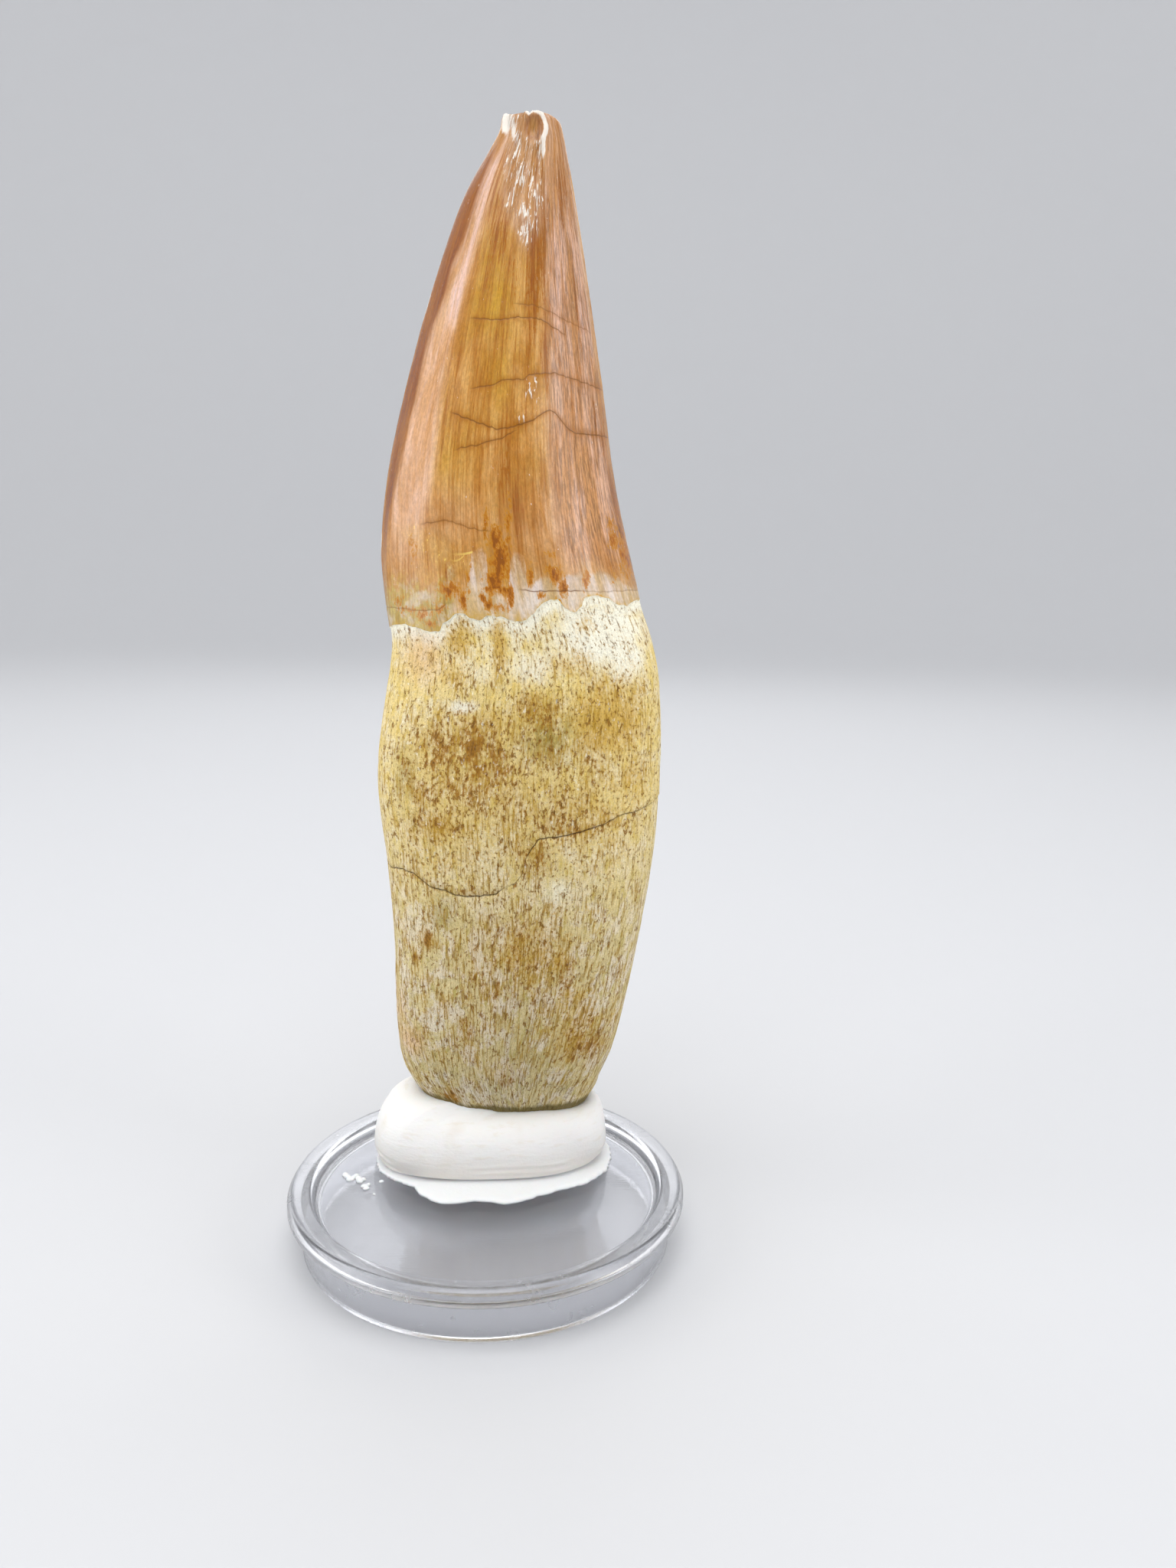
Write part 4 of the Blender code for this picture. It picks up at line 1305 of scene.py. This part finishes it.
# Painted shade: the lump's lower side is darker and warmer.
low_side = times(ramp(level, 5 * MM, 5.3 * MM), ramp(level, 5.6 * MM, 9 * MM, 0.55, 0))
crumb_far = total(away_from(place, CRUMB_PLACE), (fine, 0.5 * MM))
colour = layered(
    PUTTY_WHITE,
    (ramp(cloud, 0.52, 0.75, 0, 0.35), PUTTY_TAN),
    (ramp(smear, 0.55, 0.72, 0, 0.28), PUTTY_TAN),
    (low_side, PUTTY_LOW_SHADE),
    (ramp(level, 5.1 * MM, 5.3 * MM, 0.8, 0), PUTTY_FILM),
    (ramp(crumb_far, 0.4 * MM, 0.6 * MM, 0.9, 0), CRUMB_GREEN),
)
dress(colour, (smear, 0.06), (fine, 0.02))
putty.data.materials.append(putty_paint)
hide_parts("mounting_putty")
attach(putty, "root")

# %% [markdown]
# ## The clear lid
#
# A lid pressed in a mould: a floor, a round raised rim, a small step and a short skirt. Its half section is
# a line of points with rounded corners.

# %% Draw the half section and spin it
ROUND_STEPS = 7
SPIN_STEPS = 192
LID_SECTION = (
    (0, 4.6, 0), (17.25, 4.6, 0.45), (17.75, 5.62, 0.4), (19.5, 5.76, 0.6), (20, 4.95, 0.4), (20, 4.2, 0.22),
    (18.6, 4.2, 0.12), (18.6, 0, 0.18), (17.2, 0, 0.18), (17.2, 3.4, 0.6), (0, 3.4, 0),
)


def rounded_line(points):
    """A line through points of x, z and corner radius, with each corner rounded."""
    line = []
    for k, (corner_x, corner_z, radius) in enumerate(points):
        here = Vector((corner_x, corner_z))
        if radius == 0:
            line.append(here)
            continue
        before = (Vector(points[k - 1][:2]) - here).normalized()
        after = (Vector(points[k + 1][:2]) - here).normalized()
        half_angle = before.angle(after) / 2
        centre = here + (before + after).normalized() * radius / math.sin(half_angle)
        start = here + before * radius / math.tan(half_angle) - centre
        end = here + after * radius / math.tan(half_angle) - centre
        sweep = start.angle_signed(end)
        part_turns = [-sweep * step / ROUND_STEPS for step in range(ROUND_STEPS + 1)]
        line += [centre + Matrix.Rotation(turn, 2) @ start for turn in part_turns]
    return line


lid_section = [(point.x * MM, point.y * MM) for point in rounded_line(LID_SECTION)]
lid = spin_section("clear_plastic_lid", lid_section, SPIN_STEPS)

# %% [markdown]
# ## Finish of the lid
#
# Clear hard plastic: plain transmission, whose thickness and bends make the bright and dark rings. Fine
# scratches and a little dust break its reflections.

# %% The clear plastic material
CLEAR = (0.955, 0.965, 1)
plastic, tree, shader = new_material(
    "clear_hard_plastic", 0.04, Transmission_Weight=1, IOR=1.52, Specular_IOR_Level=0.5
)
place = object_place()
scratch = noise(stretch(place, (0.12, 1, 1)), 0.2, 2, 0.5)
dust = noise(place, 2.5, 3, 0.6)
rim_frost = ramp(away_from(place, (0, 0, PUTTY_FOOT * MM)), 16.8 * MM, 17.8 * MM, 0, 0.14)
feed(shader.inputs["Roughness"], calc("ADD", ramp(dust, 0.4, 0.75, 0.05, 0.16), rim_frost))
dress(CLEAR, (scratch, 0.006))
lid.data.materials.append(plastic)
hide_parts("clear_lid")
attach(lid, "root")

# %% [markdown]
# ## Crumbs of putty on the lid
#
# Left of the lump a few bits of putty stick to the lid. Each is a round ball pressed flat, with its own size
# and turn.

# %% Small smears
SMEAR_DOTS = (
    (-14.7, 2.4, 0.26), (-14.4, 2, 0.24), (-14.1, 1.5, 0.26), (-13.8, 1.9, 0.22), (-13.6, 2.2, 0.22),
    (-13.3, 1.7, 0.24), (-13.1, 1.2, 0.28), (-12.8, 1.5, 0.2), (-12.5, 0.1, 0.24), (-12.2, 0.4, 0.18),
    (-12.3, -0.3, 0.2), (-10.9, 1, 0.16), (-11.4, -1.4, 0.1),
)
SMEAR_STRETCH = (1.3, 1, 0.9)
SMEAR_TURN = 2
dots = []
for place_x, place_y, radius in SMEAR_DOTS:
    bpy.ops.object.select_all(action="DESELECT")
    bpy.ops.mesh.primitive_ico_sphere_add(
        subdivisions=3, radius=1.3 * radius * MM, location=(place_x * MM, place_y * MM, PUTTY_FOOT * MM)
    )
    dot = bpy.context.object
    dot.scale = SMEAR_STRETCH
    dot.rotation_euler.z = place_x * SMEAR_TURN
    dots.append(dot)
pick(dots[0])
for dot in dots:
    dot.select_set(True)
bpy.ops.object.transform_apply(location=True, rotation=True, scale=True)
bpy.ops.object.join()
smears = bpy.context.object
smears.name = "putty_smears"
for vertex in smears.data.vertices:
    vertex.co.z = max(vertex.co.z, PUTTY_FOOT * MM)
bpy.ops.object.shade_smooth()
smears.data.materials.append(putty_paint)
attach(smears, "root")
